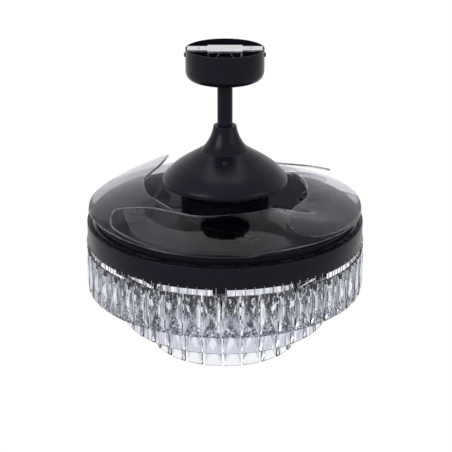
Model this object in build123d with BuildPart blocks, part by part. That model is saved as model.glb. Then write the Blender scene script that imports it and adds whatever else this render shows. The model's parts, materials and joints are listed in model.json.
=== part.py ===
from build123d import *
import math
import os

os.makedirs("parts", exist_ok=True)

# A ceiling fan whose four clear blades fold over a turning disc, with a light drum and three tiers
# of crystals hung below. The origin is the middle of the face that meets the ceiling, Z points up,
# and X and Y lie along the ceiling. Lengths are in millimetres and angles in degrees.

# Heights, from the ceiling down
canopy_height = 55.0
rod_show = 82.0
cover_height = 45.0
dome_height = 57.0
shoulder_drop = 19.4
band_height = 34.6
disc_skirt = 12.0
ring_gap = 1.7
ring_height = 38.3

# Radii that the eye sees
canopy_radius = 68.0
canopy_corner = 18.0
rod_radius = 13.35
cover_top_radius = 20.2
cover_base_radius = 42.5
dome_flat_radius = 44.0
dome_radius = 110.6
band_radius = 78.0
ring_radius = 245.0
disc_inset = 13.0
blade_overhang = 9.0

# Sheet and wall thicknesses
canopy_wall = 1.5
rod_wall = 2.2
cover_wall = 1.6
dome_wall = 1.5
shell_wall = 3.0
disc_sheet = 2.0
ring_wall = 2.5
pan_sheet = 2.0

# Clearances
press_gap = 0.05
shaft_gap = 0.05
seat_gap = 0.1
trim_gap = 0.5
guide_gap = 0.3

# Levels worked out from the heights
canopy_base_z = -canopy_height
cover_top_z = canopy_base_z - rod_show
dome_top_z = cover_top_z - cover_height
dome_rim_z = dome_top_z - dome_height
shoulder_z = dome_rim_z - shoulder_drop
disc_top_z = shoulder_z - band_height
skirt_base_z = disc_top_z - disc_skirt
ring_top_z = skirt_base_z - ring_gap
ring_base_z = ring_top_z - ring_height

# Ceiling bracket and hanger ball
bracket_sheet = 3.0
bracket_width = 44.0
arm_width = 28.0
strap_reach = 27.0
mount_spacing = 88.9
mount_hole_radius = 2.7
ear_depth = 17.0
ear_width = 16.0
ear_gap = 1.0
seat_lift = 7.0
ball_radius = 21.0
ball_sink_share = 0.6
ball_top_share = 0.66
ball_foot_share = 0.74
rod_slot_gap = 2.0
rod_head = 5.0
pin_radius = 3.0
canopy_screw_radius = 2.0
canopy_screw_length = 9.0
canopy_screw_head_radius = 4.0
canopy_screw_head = 2.2
screw_gap = 0.15

# Coupling cover and dome: where their curves pass, as shares of their width and height
cover_waist_out_share = 0.42
cover_waist_down_share = 0.63
dome_curve_shares = ((0.39, 0.28), (0.676, 0.51), (0.893, 0.754), (0.985, 0.888))

# Yoke, mount plate and shaft
yoke_radius = 18.0
yoke_head = 5.0
yoke_foot = 20.0
yoke_flange_radius = 26.0
yoke_flange = 4.0
socket_depth = 25.0
shaft_radius = 8.5
shaft_bore_radius = 5.5
shaft_engage = 27.0
yoke_pin_length = 40.0
yoke_screw_radius = 2.5
yoke_screw_head_radius = 4.0
plate_radius = 63.0
plate_sheet = 3.0
plate_hole_place_share = 0.62
plate_hole_share = 0.16
boss_radius = 6.0
dome_screw_ring_radius = 57.0
dome_screw_count = 2
dome_screw_radius = 2.0
dome_screw_length = 9.0
dome_screw_head_radius = 4.5
dome_screw_head = 3.0

# Motor
shoulder_width = 6.0
upper_shell_rise = 49.0
shell_corner = 6.0
bearing_radius = 20.0
bearing_width = 12.0
bearing_lip = 4.0
bearing_boss_wall = 5.0
shaft_clear = 3.5
band_flange = 3.0
band_chamfer = 0.8
magnet_thickness = 5.0
magnet_height = 26.0
magnet_rise = 6.0
air_gap = 0.8
tooth_count = 9
tooth_width = 9.0
core_hub_radius = 24.0
core_height = 20.0
shoe_depth = 5.0
shoe_share = 0.78
coil_build = 4.8
coil_gap = 0.3
coil_inset = 3.0

# Rotor disc, pivots and synchronising gears
pivot_turn = 14.0
blade_count = 4
disc_screw_count = 6
disc_screw_ring_radius = 45.0
disc_screw_radius = 2.5
disc_screw_length = 7.0
disc_screw_head_radius = 4.5
disc_screw_head = 3.0
collar_radius = 13.0
collar_height = 6.0
bush_radius = 8.0
bush_flange_radius = 12.0
bush_flange = 1.0
spindle_radius = 5.0
hub_radius = 20.0
hub_sheet = 2.0
cap_radius = 20.0
cap_height = 3.2
cap_round = 1.5
gear_room = 9.9
pinion_teeth = 14
ring_teeth = 64
gear_height = 4.0
gear_drop = 10.5
pressure_angle = 20.0
addendum_share = 0.8
dedendum_share = 1.1
backlash = 0.5
ring_gear_web = 14.0
guide_wall = 8.0
guide_flange = 2.0
guide_lip = 4.5
spring_wire_radius = 0.9
spring_pitch = 2.4
spring_turns = 3.0
spindle_tail = 1.5

# Blade: its edges are given as shares of the outer radius and of the arc from pivot to tip
blade_sheet = 3.0
blade_arc = 164.0
blade_pitch = 17.0
blade_step = 5.3
blade_camber = 4.0
blade_tip_rise = 17.0
root_flat_share = 0.09
pitch_full_share = 0.49
tip_lift_start_share = 0.74
root_end_shares = ((-0.028, 0.935), (-0.07, 0.845), (-0.08, 0.73))
inner_edge_shares = (
    (-0.055, 0.62), (0.05, 0.545), (0.19, 0.515), (0.34, 0.537), (0.5, 0.583), (0.7, 0.616),
    (0.82, 0.637), (0.915, 0.69), (0.98, 0.815),
)
tip_end_shares = ((1.0, 0.9), (0.975, 0.972))
outer_start_share = 0.03
outer_end_share = 0.927
camber_start_share = 0.54
section_shares = (0.09, 0.19, 0.3, 0.41, 0.52, 0.64, 0.74, 0.83, 0.92, 1.02)
section_inner_share = 0.47
section_outer_share = 1.02

# Light drum
rim_lip = 10.0
rim_sheet = 2.0
rim_round = 1.2
foot_lip = 6.5
foot_rise = 3.0
foot_sheet = 2.0
pan_drop = 5.3
pan_rim_width = 40.0
pan_slope_run = 5.0
pan_fit = 0.4
ring_screw_count = 8
ring_screw_radius = 2.0
ring_screw_inset = 6.5
nut_radius = 14.0
nut_height = 6.0
shaft_tail = 3.0
board_inner_radius = 70.0
board_outer_radius = 188.0
board_sheet = 1.6
driver_length = 60.0
driver_width = 28.0
driver_height = 16.0
driver_offset = 36.0
driver_round = 2.0
diffuser_sheet = 3.0
diffuser_gap = 0.6

# Basket of legs and hoops
leg_count = 8
leg_turn = -92.0
leg_width = 24.0
leg_sheet = 2.5
leg_gap = 0.3
tab_inset = 2.0
tab_drop = 8.0
hoop_height = 8.0
hoop_sheet = 2.0
hoop_radii = (182.0, 130.0)
hoop_drops = (52.0, 100.0)

# Crystals
crystal_height = 75.8
crystal_width = 29.5
crystal_depth = 10.0
crystal_edge = 4.0
crystal_hip_share = 0.475
hook_length = 11.0
hook_side = 1.6
tier_counts = (48, 36, 24)
tier_turn = -91.5

# The drum ring sets the disc's width and the disc the blades', and the band sets the motor's
disc_radius = ring_radius - disc_inset
blade_outer_radius = disc_radius + blade_overhang
upper_shell_radius = band_radius - shoulder_width

# The pan's floor clears the pinions, so it sets how far out the pivots stand and how large the teeth are
ring_bore_radius = ring_radius - ring_wall
pan_radius = ring_bore_radius - pan_fit
pan_step_radius = pan_radius - pan_rim_width
pan_floor_radius = pan_step_radius - pan_slope_run
gear_teeth = ring_teeth + pinion_teeth
pivot_radius = (pan_floor_radius - gear_room) / (1 + (pinion_teeth + 2 * addendum_share) / gear_teeth)
gear_module = 2 * pivot_radius / gear_teeth


def save(piece, name):
    """Name a finished piece and write it as its own file."""
    piece.label = name
    export_step(piece, f"parts/{name}.step")


def tube(outer_radius, inner_radius, base_z, top_z):
    """A plain upright tube."""
    with BuildPart() as piece:
        with BuildSketch(Plane.XY.offset(base_z)):
            Circle(outer_radius)
            Circle(inner_radius, mode=Mode.SUBTRACT)
        extrude(amount=top_z - base_z)
    return piece.part


def screw(shank_radius, shank_length, head_radius, head_height):
    """A cap screw that points down from the origin, with its head above."""
    with BuildPart() as piece:
        with BuildSketch(Plane.XY):
            Circle(shank_radius)
        extrude(amount=-shank_length)
        with BuildSketch(Plane.XY):
            Circle(head_radius)
        extrude(amount=head_height)
        fillet(piece.edges().group_by(Axis.Z)[-1], radius=head_height / 3)
    return piece.part


def group(shape, places):
    """Copies of one solid at several places, as one piece of separate solids."""
    return Compound(children=[place * shape for place in places])


def around(count, radius, z, start=0.0, tilt=0.0):
    """Places evenly round the fan's axis, each turned to face outwards."""
    return [
        Rot(0, 0, start + 360 * step / count) * Pos(radius, 0, z) * Rot(0, tilt, 0)
        for step in range(count)
    ]


# Ceiling bracket, with the seat that holds the ball
seat_base_z = canopy_base_z + canopy_wall + seat_lift
seat_top_z = seat_base_z + bracket_sheet
ball_z = seat_top_z + ball_radius * ball_sink_share
ear_reach = math.sqrt((canopy_radius - canopy_wall) ** 2 - (arm_width / 2) ** 2) - seat_gap
screw_z = -bracket_sheet - ear_depth / 2

with BuildPart() as ceiling_bracket:
    with BuildSketch(Plane.XY):
        Rectangle(2 * ear_reach, arm_width)
        Rectangle(2 * (strap_reach + bracket_sheet), bracket_width)
        with Locations((-mount_spacing / 2, 0), (mount_spacing / 2, 0)):
            Circle(mount_hole_radius, mode=Mode.SUBTRACT)
    extrude(amount=-bracket_sheet)
    with BuildSketch(Plane.XY.offset(seat_base_z)):
        with Locations((-strap_reach - bracket_sheet / 2, 0), (strap_reach + bracket_sheet / 2, 0)):
            Rectangle(bracket_sheet, bracket_width)
    extrude(amount=-bracket_sheet - seat_base_z)
    with BuildSketch(Plane.XY.offset(seat_base_z)):
        Rectangle(2 * (strap_reach + bracket_sheet), bracket_width)
    extrude(amount=bracket_sheet)
    with BuildSketch(Plane.XY.offset(-bracket_sheet)):
        with Locations((-ear_reach + bracket_sheet / 2, 0), (ear_reach - bracket_sheet / 2, 0)):
            Rectangle(bracket_sheet, ear_width)
    extrude(amount=-ear_depth)
    with BuildSketch(Plane.YZ.offset(-canopy_radius)):
        with Locations((0, screw_z)):
            Circle(canopy_screw_radius + screw_gap)
    extrude(amount=2 * canopy_radius, mode=Mode.SUBTRACT)
    with BuildSketch(Plane.XY.offset(seat_base_z)):
        Circle(rod_radius + rod_slot_gap)
        with Locations((0, -bracket_width / 2)):
            Rectangle(2 * (rod_radius + rod_slot_gap), bracket_width)
    extrude(amount=bracket_sheet, mode=Mode.SUBTRACT)
    with Locations((0, 0, ball_z)):
        Sphere(ball_radius + seat_gap, mode=Mode.SUBTRACT)
save(ceiling_bracket.part, "ceiling_bracket")

# Hanger ball, cut flat above and below, bored for the rod and its pin
ball_top_z = ball_z + ball_radius * ball_top_share
ball_foot_z = ball_z - ball_radius * ball_foot_share

with BuildPart() as hanger_ball:
    with Locations((0, 0, ball_z)):
        Sphere(ball_radius)
    with BuildSketch(Plane.XY.offset(ball_foot_z)):
        Circle(ball_radius)
    extrude(amount=ball_top_z - ball_foot_z, mode=Mode.INTERSECT)
    with BuildSketch(Plane.XY.offset(ball_foot_z)):
        Circle(rod_radius + press_gap)
    extrude(amount=ball_top_z - ball_foot_z, mode=Mode.SUBTRACT)
    with BuildSketch(Plane.XZ.offset(-ball_radius)):
        with Locations((0, ball_z)):
            Circle(pin_radius + press_gap)
    extrude(amount=2 * ball_radius, mode=Mode.SUBTRACT)
save(hanger_ball.part, "hanger_ball")

# Downrod, drilled for the pin at each end
yoke_top_z = cover_top_z - yoke_head
rod_foot_z = yoke_top_z - socket_depth
yoke_pin_z = (yoke_top_z + rod_foot_z) / 2

with BuildPart() as downrod:
    with BuildSketch(Plane.XY.offset(rod_foot_z)):
        Circle(rod_radius)
        Circle(rod_radius - rod_wall, mode=Mode.SUBTRACT)
    extrude(amount=ball_top_z + rod_head - rod_foot_z)
    with BuildSketch(Plane.XZ.offset(-ball_radius)):
        with Locations((0, ball_z)):
            Circle(pin_radius + press_gap)
    extrude(amount=2 * ball_radius, mode=Mode.SUBTRACT)
    with BuildSketch(Plane.YZ.offset(-yoke_pin_length / 2)):
        with Locations((0, yoke_pin_z)):
            Circle(pin_radius + press_gap)
    extrude(amount=yoke_pin_length, mode=Mode.SUBTRACT)
save(downrod.part, "downrod")

ball_pin_half = math.sqrt(ball_radius**2 - pin_radius**2) - press_gap

with BuildPart() as ball_pin:
    with BuildSketch(Plane.XZ.offset(-ball_pin_half)):
        with Locations((0, ball_z)):
            Circle(pin_radius)
    extrude(amount=2 * ball_pin_half)
save(ball_pin.part, "ball_pin")

# Canopy: a round-bottomed cup over the bracket
with BuildPart() as canopy:
    with BuildSketch(Plane.XY):
        Circle(canopy_radius)
    extrude(amount=-canopy_height)
    fillet(canopy.edges().group_by(Axis.Z)[0], radius=canopy_corner)
    offset(amount=-canopy_wall, openings=canopy.faces().sort_by(Axis.Z)[-1])
    with BuildSketch(Plane.XY.offset(canopy_base_z)):
        Circle(rod_radius + trim_gap)
    extrude(amount=canopy_wall, mode=Mode.SUBTRACT)
    with BuildSketch(Plane.YZ.offset(-canopy_radius)):
        with Locations((0, screw_z)):
            Circle(canopy_screw_radius + screw_gap)
    extrude(amount=2 * canopy_radius, mode=Mode.SUBTRACT)
save(canopy.part, "canopy")

canopy_screw = screw(
    canopy_screw_radius, canopy_screw_length, canopy_screw_head_radius, canopy_screw_head
)
save(group(canopy_screw, around(2, canopy_radius, screw_z, tilt=90)), "canopy_screws")

# Coupling cover: a hollow bell that hides the joint of rod and yoke
cover_waist = (
    cover_top_radius + (cover_base_radius - cover_top_radius) * cover_waist_out_share,
    cover_top_z - cover_height * cover_waist_down_share,
)


def bell(inset):
    """The coupling cover's outer form drawn in by an inset, as a solid."""
    with BuildPart() as piece:
        with BuildSketch(Plane.XZ):
            with BuildLine():
                Polyline((cover_base_radius - inset, dome_top_z), (0, dome_top_z), (0, cover_top_z - inset),
                         (cover_top_radius - inset, cover_top_z - inset))
                ThreePointArc((cover_top_radius - inset, cover_top_z - inset),
                              (cover_waist[0] - inset, cover_waist[1] - inset / 2),
                              (cover_base_radius - inset, dome_top_z))
            make_face()
        revolve(axis=Axis.Z)
    return piece.part


with BuildPart() as coupling_cover:
    add(bell(0.0))
    fillet(coupling_cover.edges().group_by(Axis.Z)[-1], radius=cover_wall)
    add(bell(cover_wall), mode=Mode.SUBTRACT)
    with BuildSketch(Plane.XY.offset(cover_top_z)):
        Circle(rod_radius + trim_gap)
    extrude(amount=-2 * cover_wall, mode=Mode.SUBTRACT)
save(coupling_cover.part, "coupling_cover")

# Yoke: takes the rod above and the shaft below, with a flange for the mount plate
yoke_base_z = dome_top_z - yoke_foot
plate_base_z = yoke_base_z + yoke_flange
shaft_screw_z = (plate_base_z + plate_sheet + dome_top_z - dome_wall) / 2

with BuildPart() as yoke:
    with BuildSketch(Plane.XY.offset(yoke_base_z)):
        Circle(yoke_radius)
    extrude(amount=yoke_top_z - yoke_base_z)
    with BuildSketch(Plane.XY.offset(yoke_base_z)):
        Circle(yoke_flange_radius)
    extrude(amount=yoke_flange)
    chamfer(yoke.edges().group_by(Axis.Z)[-1], length=cover_wall)
    with BuildSketch(Plane.XY.offset(rod_foot_z)):
        Circle(rod_radius + press_gap)
    extrude(amount=socket_depth, mode=Mode.SUBTRACT)
    with BuildSketch(Plane.XY.offset(yoke_base_z)):
        Circle(shaft_radius + press_gap)
    extrude(amount=shaft_engage, mode=Mode.SUBTRACT)
    with BuildSketch(Plane.XY.offset(yoke_base_z)):
        Circle(shaft_bore_radius)
    extrude(amount=yoke_top_z - yoke_base_z, mode=Mode.SUBTRACT)
    with BuildSketch(Plane.YZ.offset(-yoke_pin_length / 2)):
        with Locations((0, yoke_pin_z)):
            Circle(pin_radius + press_gap)
    extrude(amount=yoke_pin_length, mode=Mode.SUBTRACT)
    with BuildSketch(Plane.XZ.offset(-yoke_flange_radius)):
        with Locations((0, shaft_screw_z)):
            Circle(yoke_screw_radius + press_gap)
    extrude(amount=2 * yoke_flange_radius, mode=Mode.SUBTRACT)
save(yoke.part, "yoke")

with BuildPart() as yoke_pin:
    with BuildSketch(Plane.YZ.offset(-yoke_pin_length / 2)):
        with Locations((0, yoke_pin_z)):
            Circle(pin_radius)
    extrude(amount=yoke_pin_length)
    chamfer(yoke_pin.edges(), length=pin_radius / 4)
save(yoke_pin.part, "yoke_pin")

yoke_screw_length = yoke_radius - shaft_radius - seat_gap
yoke_screw = screw(yoke_screw_radius, yoke_screw_length, yoke_screw_head_radius, yoke_screw_radius)
save(group(yoke_screw, around(2, yoke_radius, shaft_screw_z, 90, 90)), "yoke_screws")

# Dome: a spun shell; the same curve, drawn in by a wall, also trims the bosses below it
def dome_solid(inset):
    """The dome's outer form drawn in by an inset, as a solid."""
    run = dome_radius - dome_flat_radius
    points = [(dome_flat_radius - inset / 2, dome_top_z - inset)]
    for across, down in dome_curve_shares:
        points.append((dome_flat_radius + run * across - inset * down, dome_top_z - dome_height * down
                       - inset * (1 - down)))
    points.append((dome_radius - inset, dome_rim_z))
    with BuildPart() as piece:
        with BuildSketch(Plane.XZ):
            with BuildLine():
                Line((0, dome_rim_z), (0, dome_top_z - inset))
                Line((0, dome_top_z - inset), points[0])
                Spline(points)
                Line(points[-1], (0, dome_rim_z))
            make_face()
        revolve(axis=Axis.Z)
    return piece.part


dome_outside = dome_solid(0.0)
dome_inside = dome_solid(dome_wall)
boss_envelope = dome_solid(dome_wall + seat_gap)

# The dome screws stand square to the curve, on the circle of the bosses
screw_line = Axis((dome_screw_ring_radius, 0, dome_rim_z), (0, 0, 1))
screw_seat, screw_normal = max(dome_outside.find_intersection_points(screw_line), key=lambda hit: hit[0].Z)
screw_tilt = math.degrees(math.atan2(screw_normal.X, screw_normal.Z))
dome_screw_places = around(dome_screw_count, dome_screw_ring_radius, screw_seat.Z, -90, screw_tilt)

with BuildPart() as dome:
    add(dome_outside)
    add(dome_inside, mode=Mode.SUBTRACT)
    with BuildSketch(Plane.XY.offset(dome_top_z)):
        Circle(yoke_radius + trim_gap)
    extrude(amount=-2 * dome_wall, mode=Mode.SUBTRACT)
    with Locations(dome_screw_places):
        Cylinder(dome_screw_radius + screw_gap, 2 * dome_screw_length, mode=Mode.SUBTRACT)
save(dome.part, "dome")

dome_screw = screw(dome_screw_radius, dome_screw_length, dome_screw_head_radius, dome_screw_head)
lifted = Location((0, 0, guide_gap))
save(group(dome_screw, [place * lifted for place in dome_screw_places]), "dome_screws")

# Mount plate: rests on the yoke's flange and carries the dome on its bosses
plate_hole_turn = 180 / dome_screw_count - 90
plate_hole_circle = plate_radius * plate_hole_place_share

with BuildPart() as mount_plate:
    with BuildSketch(Plane.XY.offset(plate_base_z)):
        Circle(plate_radius)
    extrude(amount=plate_sheet)
    with BuildSketch(Plane.XY.offset(plate_base_z)):
        with PolarLocations(dome_screw_ring_radius, dome_screw_count, start_angle=-90):
            Circle(boss_radius)
    extrude(amount=dome_top_z - plate_base_z)
    add(boss_envelope, mode=Mode.INTERSECT)
    with BuildSketch(Plane.XY.offset(plate_base_z)):
        Circle(yoke_radius + press_gap)
        with PolarLocations(plate_hole_circle, dome_screw_count, start_angle=plate_hole_turn):
            Circle(plate_radius * plate_hole_share)
    extrude(amount=dome_top_z - plate_base_z, mode=Mode.SUBTRACT)
    with Locations(dome_screw_places):
        Cylinder(dome_screw_radius + screw_gap, 2 * dome_screw_length, mode=Mode.SUBTRACT)
save(mount_plate.part, "mount_plate")

# Hollow shaft: hangs in the yoke, runs through the motor and carries the light pan
pan_rim_top_z = ring_top_z - rim_sheet
pan_top_z = pan_rim_top_z - pan_drop
pan_base_z = pan_top_z - pan_sheet
shaft_foot_z = pan_base_z - nut_height - shaft_tail

save(tube(shaft_radius, shaft_bore_radius, shaft_foot_z, yoke_base_z + shaft_engage), "hollow_shaft")

# Motor shells: the upper one sits on the lower one, and the lower one on the disc
upper_top_z = shoulder_z + upper_shell_rise
lower_top_z = shoulder_z - band_flange
boss_wall_radius = bearing_radius + bearing_boss_wall
lip_hole_radius = shaft_radius + shaft_clear
upper_bearing_top_z = upper_top_z - bearing_lip
lower_bearing_base_z = disc_top_z + bearing_lip

with BuildPart() as motor_shell_upper:
    with BuildSketch(Plane.XY.offset(lower_top_z)):
        Circle(band_radius)
    extrude(amount=band_flange)
    chamfer(motor_shell_upper.edges().filter_by(GeomType.CIRCLE), length=band_chamfer)
    with BuildSketch(Plane.XY.offset(shoulder_z)):
        Circle(upper_shell_radius)
    extrude(amount=upper_shell_rise)
    fillet(motor_shell_upper.edges().group_by(Axis.Z)[-1], radius=shell_corner)
    with BuildSketch(Plane.XY.offset(lower_top_z)):
        Circle(upper_shell_radius - shell_wall)
    extrude(amount=upper_top_z - shell_wall - lower_top_z, mode=Mode.SUBTRACT)
    with BuildSketch(Plane.XY.offset(upper_bearing_top_z - bearing_width)):
        Circle(boss_wall_radius)
    extrude(amount=bearing_width + bearing_lip)
    with BuildSketch(Plane.XY.offset(upper_bearing_top_z - bearing_width)):
        Circle(bearing_radius + press_gap)
    extrude(amount=bearing_width, mode=Mode.SUBTRACT)
    with BuildSketch(Plane.XY.offset(upper_bearing_top_z)):
        Circle(lip_hole_radius)
    extrude(amount=bearing_lip, mode=Mode.SUBTRACT)
save(motor_shell_upper.part, "motor_shell_upper")

with BuildPart() as motor_shell_lower:
    with BuildSketch(Plane.XY.offset(disc_top_z)):
        Circle(band_radius)
    extrude(amount=lower_top_z - disc_top_z)
    chamfer(motor_shell_lower.edges().group_by(Axis.Z)[-1], length=band_chamfer)
    with BuildSketch(Plane.XY.offset(disc_top_z + shell_wall)):
        Circle(band_radius - shell_wall)
    extrude(amount=lower_top_z - disc_top_z, mode=Mode.SUBTRACT)
    with BuildSketch(Plane.XY.offset(disc_top_z)):
        Circle(boss_wall_radius)
    extrude(amount=bearing_lip + bearing_width)
    with BuildSketch(Plane.XY.offset(lower_bearing_base_z)):
        Circle(bearing_radius + press_gap)
    extrude(amount=bearing_width, mode=Mode.SUBTRACT)
    with BuildSketch(Plane.XY.offset(disc_top_z)):
        Circle(lip_hole_radius)
        with PolarLocations(disc_screw_ring_radius, disc_screw_count):
            Circle(disc_screw_radius + screw_gap)
    extrude(amount=bearing_lip, mode=Mode.SUBTRACT)
save(motor_shell_lower.part, "motor_shell_lower")

bearing = tube(bearing_radius, shaft_radius + shaft_gap, -bearing_width, 0)
bearing_places = [
    Location((0, 0, upper_bearing_top_z)),
    Location((0, 0, lower_bearing_base_z + bearing_width)),
]
save(group(bearing, bearing_places), "motor_bearings")

# Motor magnets, laminated core and windings
magnet_base_z = shoulder_z + magnet_rise
magnet_radius = upper_shell_radius - shell_wall - press_gap
magnet_bore_radius = magnet_radius - magnet_thickness
save(tube(magnet_radius, magnet_bore_radius, magnet_base_z, magnet_base_z + magnet_height), "magnet_ring")

core_radius = magnet_bore_radius - air_gap
core_base_z = magnet_base_z + (magnet_height - core_height) / 2
tooth_step = 360 / tooth_count
tooth_length = core_radius - core_hub_radius
slot_width = 2 * math.pi * core_radius / tooth_count * (1 - shoe_share)

with BuildPart() as stator_core:
    with BuildSketch(Plane.XY.offset(core_base_z)):
        Circle(core_radius)
        Circle(core_radius - shoe_depth, mode=Mode.SUBTRACT)
        with PolarLocations(core_radius, tooth_count, start_angle=tooth_step / 2):
            Rectangle(3 * shoe_depth, slot_width, mode=Mode.SUBTRACT)
        with PolarLocations(core_radius - shoe_depth / 2 - tooth_length / 2, tooth_count):
            Rectangle(tooth_length, tooth_width)
        Circle(core_hub_radius)
        Circle(shaft_radius + press_gap, mode=Mode.SUBTRACT)
    extrude(amount=core_height)
save(stator_core.part, "stator_core")

coil_start = core_hub_radius + coil_inset
coil_half_width = tooth_width / 2 + coil_build
coil_end = math.sqrt((core_radius - shoe_depth) ** 2 - coil_half_width**2) - coil_gap

with BuildPart() as coil:
    with BuildSketch(Plane.YZ.offset(coil_start)):
        with Locations((0, core_base_z + core_height / 2)):
            RectangleRounded(tooth_width + 2 * coil_build, core_height + 2 * coil_build, coil_build)
            Rectangle(tooth_width + coil_gap, core_height + coil_gap, mode=Mode.SUBTRACT)
    extrude(amount=coil_end - coil_start)
save(group(coil.part, around(tooth_count, 0, 0)), "stator_windings")

# Rotor disc: an inverted pan with a collar for each blade pivot
disc_under_z = disc_top_z - disc_sheet
collar_base_z = disc_under_z - collar_height
pivot_places = around(blade_count, pivot_radius, 0, pivot_turn)

with BuildPart() as rotor_disc:
    with BuildSketch(Plane.XY.offset(disc_top_z)):
        Circle(disc_radius)
    extrude(amount=-disc_skirt)
    fillet(rotor_disc.edges().group_by(Axis.Z)[-1], radius=1.5 * disc_sheet)
    offset(amount=-disc_sheet, openings=rotor_disc.faces().sort_by(Axis.Z)[0])
    with BuildSketch(Plane.XY.offset(collar_base_z)):
        with PolarLocations(pivot_radius, blade_count, start_angle=pivot_turn):
            Circle(collar_radius)
    extrude(amount=collar_height)
    with BuildSketch(Plane.XY.offset(disc_top_z)):
        Circle(lip_hole_radius)
        with PolarLocations(pivot_radius, blade_count, start_angle=pivot_turn):
            Circle(bush_radius + press_gap)
        with PolarLocations(disc_screw_ring_radius, disc_screw_count):
            Circle(disc_screw_radius + screw_gap)
    extrude(amount=-disc_sheet - collar_height, mode=Mode.SUBTRACT)
save(rotor_disc.part, "rotor_disc")

disc_screw = screw(disc_screw_radius, disc_screw_length, disc_screw_head_radius, disc_screw_head)
disc_screw_places = around(disc_screw_count, disc_screw_ring_radius, disc_under_z, tilt=180)
save(group(disc_screw, disc_screw_places), "rotor_screws")

with BuildPart() as bush:
    with BuildSketch(Plane.XY.offset(collar_base_z)):
        Circle(bush_radius)
    extrude(amount=disc_top_z - collar_base_z)
    with BuildSketch(Plane.XY.offset(disc_top_z)):
        Circle(bush_flange_radius)
    extrude(amount=bush_flange)
    with BuildSketch(Plane.XY.offset(collar_base_z)):
        Circle(spindle_radius + shaft_gap)
    extrude(amount=disc_top_z + bush_flange - collar_base_z, mode=Mode.SUBTRACT)
save(group(bush.part, pivot_places), "pivot_bushes")

# Return springs: one coil round each collar, under the disc
spring_radius = collar_radius + guide_gap + spring_wire_radius
spring_top_z = disc_under_z - spring_wire_radius - seat_gap
spring_height = spring_pitch * spring_turns

with BuildPart() as return_spring:
    with BuildLine() as spring_path:
        Helix(spring_pitch, spring_height, spring_radius, center=(0, 0, spring_top_z - spring_height))
    with BuildSketch(spring_path.line ^ 0):
        Circle(spring_wire_radius)
    sweep()
save(group(return_spring.part, pivot_places), "return_springs")

# Gears: straight flanks drawn just inside the true tooth form
pinion_radius = gear_module * pinion_teeth / 2
sync_radius = gear_module * ring_teeth / 2
gear_top_z = disc_under_z - gear_drop
gear_base_z = gear_top_z - gear_height


def gear_points(teeth, first_angle):
    """Corners of a gear's outline, four to each tooth."""
    pitch_radius = gear_module * teeth / 2
    base_radius = pitch_radius * math.cos(math.radians(pressure_angle))
    tip_radius = pitch_radius + gear_module * addendum_share
    root_radius = pitch_radius - gear_module * dedendum_share

    def half_width(radius):
        roll = math.acos(min(1, base_radius / radius))
        flat = math.radians(pressure_angle)
        thickness = (math.pi * gear_module / 2 - backlash / 2) / (2 * pitch_radius)
        return math.degrees(thickness + (math.tan(flat) - flat) - (math.tan(roll) - roll))

    points = []
    for step in range(teeth):
        middle = first_angle + 360 * step / teeth
        for radius, side in ((root_radius, -1), (tip_radius, -1), (tip_radius, 1), (root_radius, 1)):
            angle = math.radians(middle + side * half_width(radius))
            points.append((radius * math.cos(angle), radius * math.sin(angle)))
    return points


sync_bore_radius = sync_radius - gear_module * dedendum_share - ring_gear_web

with BuildPart() as sync_ring:
    with BuildSketch(Plane.XY.offset(gear_base_z)):
        Polygon(*gear_points(ring_teeth, pivot_turn + 180 / ring_teeth), align=None)
        Circle(sync_bore_radius, mode=Mode.SUBTRACT)
    extrude(amount=gear_height)
save(sync_ring.part, "sync_ring")

guide_radius = sync_bore_radius - guide_gap
guide_top_z = gear_base_z - guide_gap

with BuildPart() as guide_ring:
    with BuildSketch(Plane.XY.offset(guide_top_z)):
        Circle(guide_radius)
    extrude(amount=disc_under_z - guide_top_z)
    with BuildSketch(Plane.XY.offset(guide_top_z)):
        Circle(guide_radius + guide_lip)
    extrude(amount=-guide_flange)
    with BuildSketch(Plane.XY.offset(guide_top_z - guide_flange)):
        Circle(guide_radius - guide_wall)
    extrude(amount=disc_under_z - guide_top_z + guide_flange, mode=Mode.SUBTRACT)
save(guide_ring.part, "guide_ring")

# Blade pivot: hub with its spindle, cap and pinion, drawn about the first pivot
hub_base_z = disc_top_z + bush_flange
root_base_z = hub_base_z + hub_sheet
root_z = root_base_z + blade_sheet / 2
cap_base_z = root_base_z + blade_sheet
pivot = Location((pivot_radius, 0, 0))

with BuildPart() as blade_hub:
    with BuildSketch(Plane.XY.offset(gear_base_z - spindle_tail)):
        Circle(spindle_radius)
    extrude(amount=cap_base_z + cap_height - spindle_tail - gear_base_z)
    with BuildSketch(Plane.XY.offset(hub_base_z)):
        Circle(hub_radius)
    extrude(amount=hub_sheet)

with BuildPart() as blade_cap:
    with BuildSketch(Plane.XY.offset(cap_base_z)):
        Circle(cap_radius)
    extrude(amount=cap_height)
    fillet(blade_cap.edges().group_by(Axis.Z)[-1], radius=cap_round)
    with BuildSketch(Plane.XY.offset(cap_base_z)):
        Circle(spindle_radius + press_gap)
    extrude(amount=cap_height, mode=Mode.SUBTRACT)

with BuildPart() as pinion:
    with BuildSketch(Plane.XY.offset(gear_base_z)):
        Polygon(*gear_points(pinion_teeth, 180), align=None)
    extrude(amount=gear_height)
    with BuildSketch(Plane.XY.offset(gear_top_z)):
        Circle(bush_radius)
    extrude(amount=collar_base_z - guide_gap - gear_top_z)
    with BuildSketch(Plane.XY.offset(gear_base_z)):
        Circle(spindle_radius + press_gap)
    extrude(amount=collar_base_z - gear_base_z, mode=Mode.SUBTRACT)

# Blade: a sheet that is flat at its root, then pitches up towards the fan's axis and lifts to its tip


def eased(share):
    """A smooth step from 0 to 1."""
    share = min(1, max(0, share))
    return share * share * (3 - 2 * share)


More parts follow.
